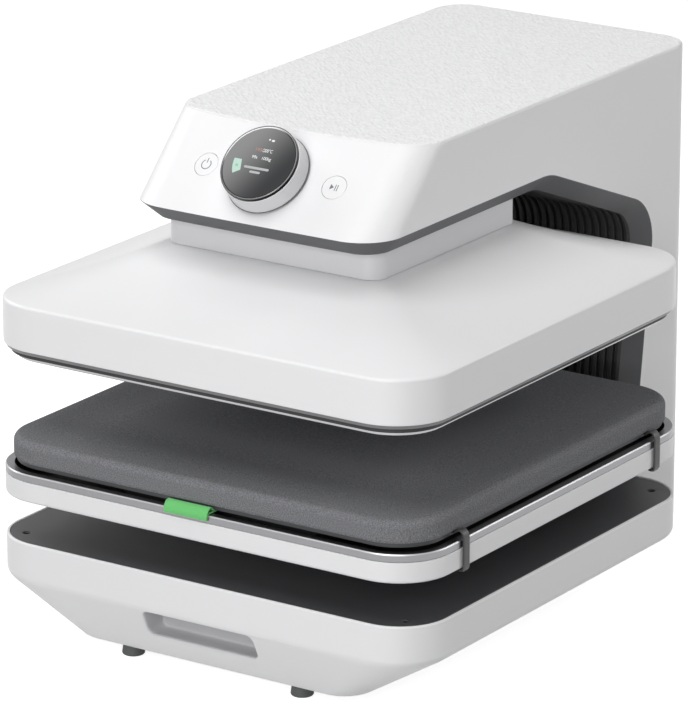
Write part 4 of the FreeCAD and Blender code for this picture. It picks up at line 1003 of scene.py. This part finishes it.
def printed_sign(name, x, outlines, body):
    """Ink on a cap: outlines about the cap's middle, moved out along the panel's normal until they lie just
    off the head's curved front, and then laid on the cap."""
    sign = flat_mark(name, [o + (x, 0.0) for o in outlines], np.zeros_like)
    place = points_of(sign.data) * 1000
    gap = (place[:, 1] - front_depth(place[:, 0], place[:, 2])) * slope[2]
    place = place + (gap + ink_lift)[:, None] * panel_out
    sign.data.vertices.foreach_set("co", (place * 0.001).reshape(-1))
    laid = sign.modifiers.new("laid on the cap", "SHRINKWRAP")
    laid.target = frame["nodes"][body + "_button"]
    laid.wrap_mode = "ABOVE_SURFACE"
    laid.offset = ink_lift * 0.001
    settle(sign)
    sign.data.materials.append(print_grey)
    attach(sign, body)


def arc_stroke(r, stroke, start, end):
    """Closed outline of a stroke along a circle."""
    ray = rays(np.linspace(start, end, 40))
    return np.concatenate([ray * (r + stroke / 2), ray[::-1] * (r - stroke / 2)])


bar = pill(0, 0, 3.6, 0.65)[::-1, ::-1]
pause_bar = bar * (1, 1.55)
triangle = np.array([(-3.5, -2.4), (-0.3, 0.0), (-3.5, 2.4)])
printed_sign("power_sign", -button_x, [arc_stroke(4.1, 0.75, 125, 415), bar * 1.2 + (0, 3.5)], "power")
printed_sign("start_sign", button_x, [triangle, pause_bar + (1.0, 0), pause_bar + (2.8, 0)], "start")

# Electrics. Green circuit boards behind the front and over the cross bars, the
# pressed-metal supply, and a sleeved bundle of wires between them.
board_green = drifting("circuit_board", (0.02, 0.15, 0.06), 0.4, 0.0, (150.0, 0.3, 0.1))
supply_metal = drifting("pressed_case", (0.55, 0.55, 0.56), 0.35, 1.0, (30.0, 0.08, 0.08))
loom_black = satin_plastic("wire_sleeve", (0.02, 0.02, 0.02), 0.6, 800.0, 0.3)
dress(board_green, "front_board", "control_board")
dress(supply_metal, "power_supply")
dress(loom_black, "wiring_loom")

# Studio. A pale floor out to the horizon, four soft lamps that stand in front, over the
# front, on the left and behind on the right, a pale surround, and the camera.
floor_reach, floor_glow, even_light = 14000.0, 0.86, 0.06


def seen_share(owner):
    """1 for rays that the camera, a reflection or glass sees, and 0 for those that only carry light."""
    path = add_node(owner, "LightPath").outputs
    direct = calculated(owner, "MAXIMUM", path["Is Camera Ray"], path["Is Glossy Ray"])
    return calculated(owner, "MAXIMUM", direct, path["Is Transmission Ray"])


def soft_lamp(name, place, towards, size, power):
    """Square area lamp, turned so that it shines at a point."""
    lamp = bpy.data.lights.new(name, "AREA")
    lamp.shape = "SQUARE"
    lamp.size = size
    lamp.energy = power
    stand = added(name, lamp)
    stand.location = place
    aim = np.array(towards) - np.array(place)
    flat = math.hypot(aim[0], aim[1])
    stand.rotation_euler = (math.atan2(flat, -aim[2]), 0, math.atan2(-aim[0], aim[1]))


floor_corners = np.array([(-1, -1, 0), (1, -1, 0), (1, 1, 0), (-1, 1, 0)]) * floor_reach
floor = added("studio_floor", point_mesh("studio_floor", floor_corners, [(0, 1, 2, 3)]))
floor_pale = new_material("studio_floor", (0.5, 0.5, 0.5), 0.9)
floor.data.materials.append(floor_pale)
floor_nodes = floor_pale.node_tree.nodes
glow = add_node(floor_pale, "Emission", Color=(1, 1, 1, 1),
                Strength=calculated(floor_pale, "MULTIPLY", seen_share(floor_pale), floor_glow))
both = add_node(floor_pale, "AddShader", i0=floor_nodes["Principled BSDF"].outputs[0], i1=glow.outputs[0])
set_up(floor_pale, floor_nodes["Material Output"], {"Surface": both.outputs[0]})

world = bpy.data.worlds.new("studio_surround")
bpy.context.scene.world = world
world.use_nodes = True
sky = world.node_tree.nodes
even = set_up(world, sky["Background"], {"Color": (1, 1, 1, 1), "Strength": even_light})
backdrop = add_node(world, "Background", Color=(0.8, 0.8, 0.8, 1), Strength=1.0)
choose = add_node(world, "MixShader", i0=seen_share(world), i1=even.outputs[0], i2=backdrop.outputs[0])
set_up(world, sky["World Output"], {"Surface": choose.outputs[0]})

soft_lamp("front_lamp", (0.85, -3.2, 1.25), (0, -0.05, 0.2), 1.9, 56)
soft_lamp("top_lamp", (0.0, -1.2, 3.1), (0, 0, 0.2), 2.1, 52)
soft_lamp("left_lamp", (-2.6, 0.2, 2.0), (0, 0, 0.2), 1.5, 29)
soft_lamp("rear_lamp", (2.0, 1.9, 1.4), (0.1, 0.2, 0.3), 0.9, 23)

camera = added("camera", bpy.data.cameras.new("camera"))
camera.location = (2.21162, -3.36487, 1.47196)
camera.rotation_euler = (math.radians(72.366), 0, math.radians(33.833))
camera.data.lens = 269.9
camera.data.sensor_width = 36
camera.data.clip_end = 100
bpy.context.scene.camera = camera
bpy.context.scene.view_settings.view_transform = "Standard"
